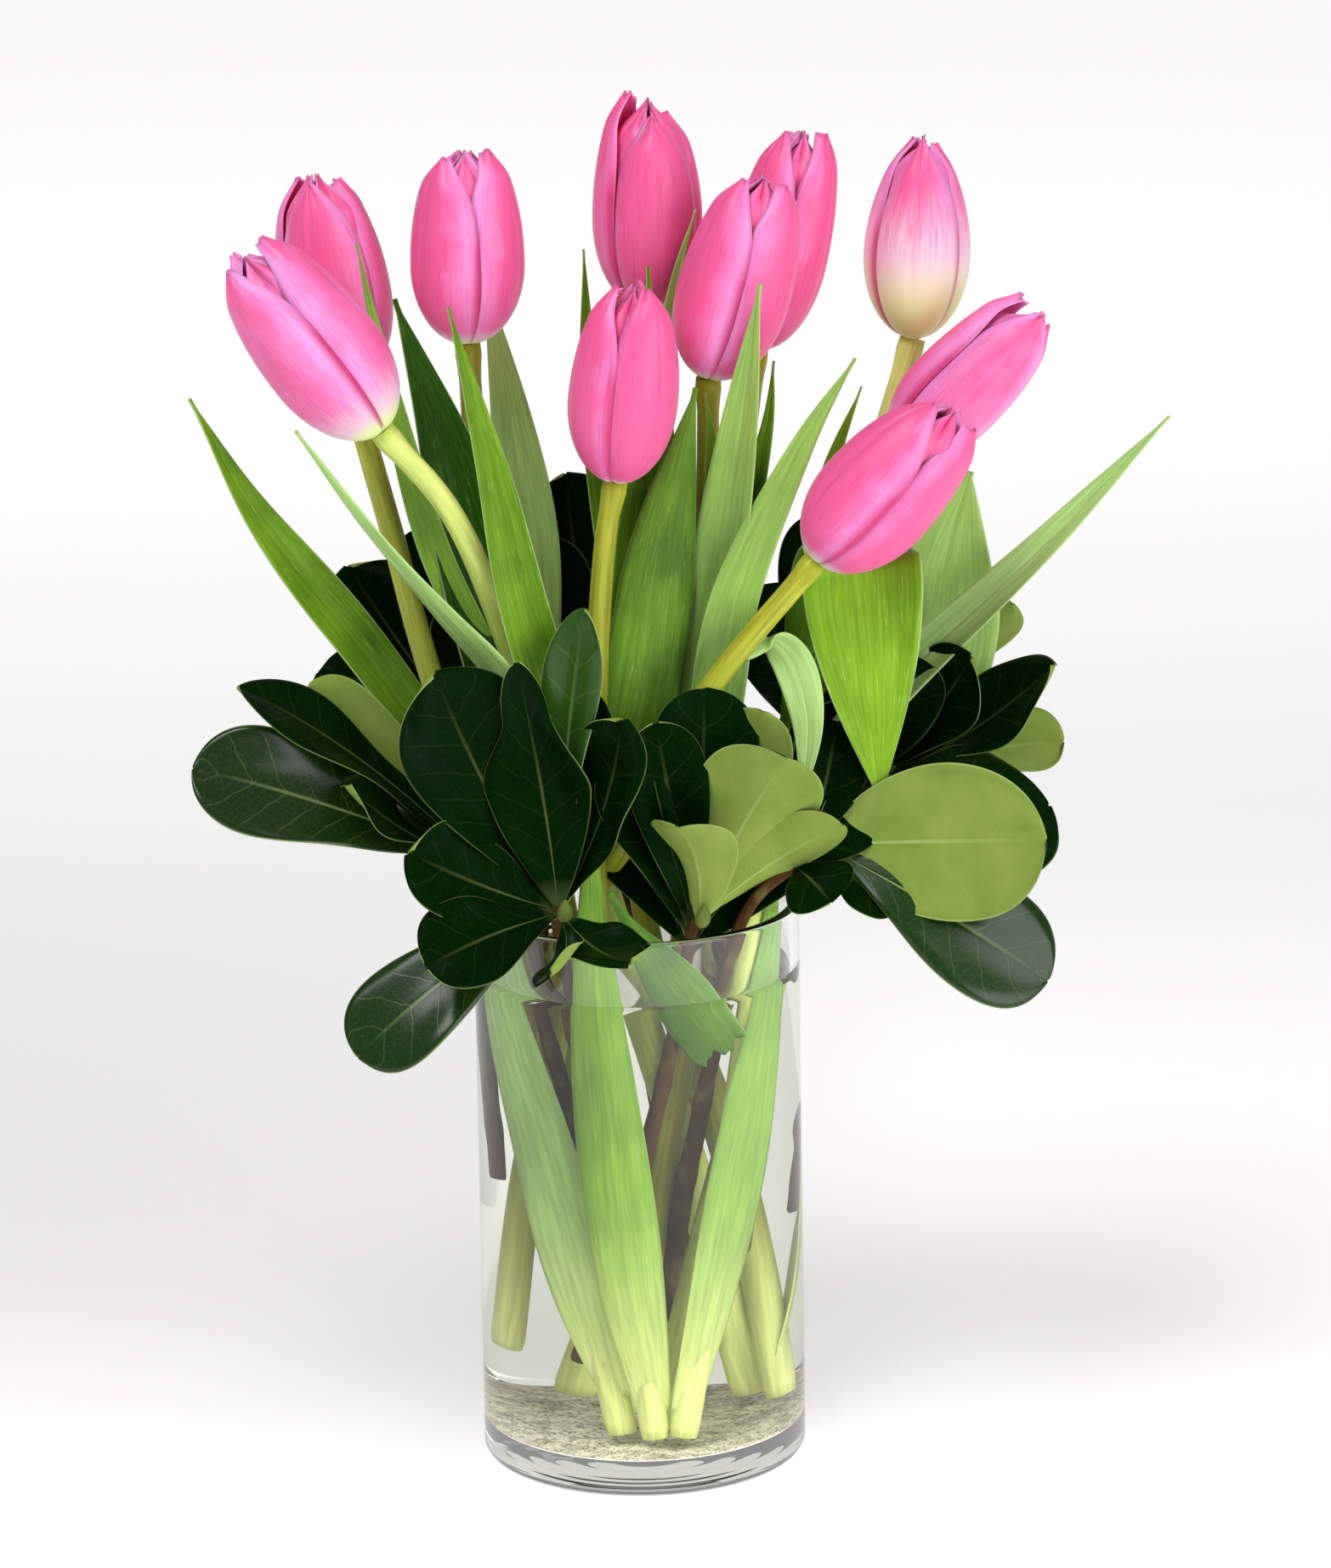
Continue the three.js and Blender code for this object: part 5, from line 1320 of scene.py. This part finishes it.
class TULIPS_OT_make_strip(bpy.types.Operator):
    """Make the loose torn strip of leaf inside the rim"""

    bl_idname = "tulips.make_strip"
    bl_label = "Loose leaf strip"

    def execute(self, context):
        settings = context.scene.tulip_flowers
        at, length = curve_through(LOOSE_STRIP["points"])
        u, v = grid(columns=25, rows=48)
        centre, along = at(v)
        across, normal = leaf_axes(along, LOOSE_STRIP["face"], None)
        half = LOOSE_STRIP["width"] / 2 * (0.1 + 0.9 * ease(v, 0.0, 0.7))
        torn = 1.6 * MM * ease(v, 0.8, 1.0) * (np.sin(7 * u) + 0.5 * np.sin(17 * u + 1))
        middle = centre + across * (u * half)[..., None] + along * torn[..., None]
        middle += normal * (LOOSE_STRIP["fold"] * half * u ** 2)[..., None]
        part = blade(middle, u, v, LOOSE_STRIP["width"], length, settings.leaf_thickness, seed=3.0)
        part = with_look(part, LOOSE_STRIP["tone"], LOOSE_STRIP["pale"])
        skins = [tulip_leaf(settings, context.scene.tulip_vase)]
        make_piece("loose_strip", [part], skins, "leaf_strip")
        return {"FINISHED"}


class TULIPS_OT_make_foliage(bpy.types.Operator):
    """Make the evergreen sprays: a woody twig each, with a whorl of leathery leaves and a bud"""

    bl_idname = "tulips.make_foliage"
    bl_label = "Foliage"

    def execute(self, context):
        settings = context.scene.tulip_foliage
        skins = [woody_bark(settings), evergreen_leaf(settings, "evergreen_leaf", polish=0.03),
                 evergreen_leaf(settings, "polished_evergreen_leaf", polish=1.0)]
        draw = np.random.default_rng(SEED + 2)
        for number, twig in enumerate(SPRAYS, 1):
            at, length = curve_through(twig["stem"])

            def radius(v, angle, foot=settings.foot_radius, tip=settings.tip_radius, turn=number):
                knots = 0.3 * MM * np.sin(v * length / (9 * MM) + turn) ** 8
                return foot + (tip - foot) * v + knots + 0.1 * MM * np.sin(3 * angle + 40 * v + turn)

            wood = tube(at, length, radius, rows=120, sides=20, seed=number)
            parts = [with_look(wood, tone=0.0)]
            # The leaves of a whorl leave the twig 2 mm apart, from 1.5 mm below its end.
            for i, form in enumerate(twig["leaves"]):
                base = at(np.array(1 - (1.5 + 2 * i) * MM / length))[0]
                parts.append(foliage_leaf_part(base, form, settings.leaf_thickness, draw))
            parts.append(bud_part(at, number))
            make_piece(f"spray_{number}", parts, skins, f"foliage_{number}")
        return {"FINISHED"}


def bud_part(at, seed):
    """The pointed green bud at a twig's end: a short tube whose radius swells and closes by a sine."""
    place, along = at(np.array(1.0))
    tip = place + 7.5 * MM * unit(along + UP * 0.8)
    start = place - 1.5 * MM * along
    line, length = curve_through(np.stack([start, start + 3.5 * MM * along, tip]))

    def radius(v, angle):
        return 0.35 * MM + 2.1 * MM * np.sin(math.pi * v ** 0.8) + 0 * angle

    bud = tube(line, length, radius, rows=18, sides=16, seed=seed)
    # Between the green of an upper face and that of an under face.
    bud["place"][:, 2] = 0.5
    bud["material"] = EVERGREEN_SKIN
    return with_look(bud, tone=0.3)


def foliage_leaf_part(base, form, thickness, draw):
    """One leathery leaf as a closed blade: its stalk is thick and round, the midrib is sunk on the upper
    face and stands out on the under face."""
    u, v = grid(columns=29, rows=48, spacing=closer_at_tip)
    phase, twist = draw.uniform(*ANY_PHASE), draw.uniform(-0.25, 0.25)
    middle, length = foliage_leaf_surface(base, form, u, v, phase, twist)
    fade = 1 - 0.8 * v
    rib = fade * np.exp(-(u * form["width"] / 2 / (0.8 * MM)) ** 2) * ease(v, 0.1, 0.25)
    stalk = 0.7 * MM * (1 - ease(v, 0.0, 0.22)) * np.sqrt(np.maximum(1 - u ** 2, 0))
    seed = draw.uniform(0, 9)
    part = blade(middle, u, v, form["width"], length, thickness, seed, stalk - 0.3 * MM * rib,
                 stalk + 0.35 * MM * rib)
    part["material"] = POLISHED_SKIN if form["young"] > 0 else EVERGREEN_SKIN
    return with_look(part, draw.uniform(-0.6, 0.2), form["young"])


class TULIPS_PT_panel(bpy.types.Panel):
    """Lists the settings and a button for each kind of piece"""

    bl_idname = "TULIPS_PT_panel"
    bl_label = "Tulips in a Vase"
    bl_space_type = "VIEW_3D"
    bl_region_type = "UI"
    bl_category = "Tulips"

    def draw(self, context):
        for title, (owner, group) in SETTINGS.items():
            box = self.layout.box()
            box.label(text=title)
            for name in group.__annotations__:
                box.prop(getattr(context.scene, owner), name)
        for operator in OPERATORS:
            self.layout.operator(operator.bl_idname)


# ---------------------------------------------------------------- registering and running

SETTINGS = {
    "Vase": ("tulip_vase", VaseSettings),
    "Tulips": ("tulip_flowers", TulipSettings),
    "Foliage": ("tulip_foliage", FoliageSettings),
    "Stage": ("tulip_stage", StageSettings),
}

OPERATORS = (
    TULIPS_OT_make_stage,
    TULIPS_OT_make_vase,
    TULIPS_OT_make_water,
    TULIPS_OT_make_silt,
    TULIPS_OT_make_blooms,
    TULIPS_OT_make_stems,
    TULIPS_OT_make_strip,
    TULIPS_OT_make_foliage,
)

GROUPS = tuple(group for _, group in SETTINGS.values())


def register():
    for made in (*GROUPS, *OPERATORS, TULIPS_PT_panel):
        bpy.utils.register_class(made)
    for name, group in SETTINGS.values():
        setattr(bpy.types.Scene, name, PointerProperty(type=group))


def unregister():
    for name, _ in SETTINGS.values():
        delattr(bpy.types.Scene, name)
    for made in reversed((*GROUPS, *OPERATORS, TULIPS_PT_panel)):
        bpy.utils.unregister_class(made)


def main():
    register()
    bpy.ops.tulips.make_stage()
    bpy.ops.tulips.make_vase()
    bpy.ops.tulips.make_water()
    bpy.ops.tulips.make_silt()
    bpy.ops.tulips.make_blooms()
    bpy.ops.tulips.make_stems()
    bpy.ops.tulips.make_strip()
    bpy.ops.tulips.make_foliage()


if __name__ == "__main__":
    main()
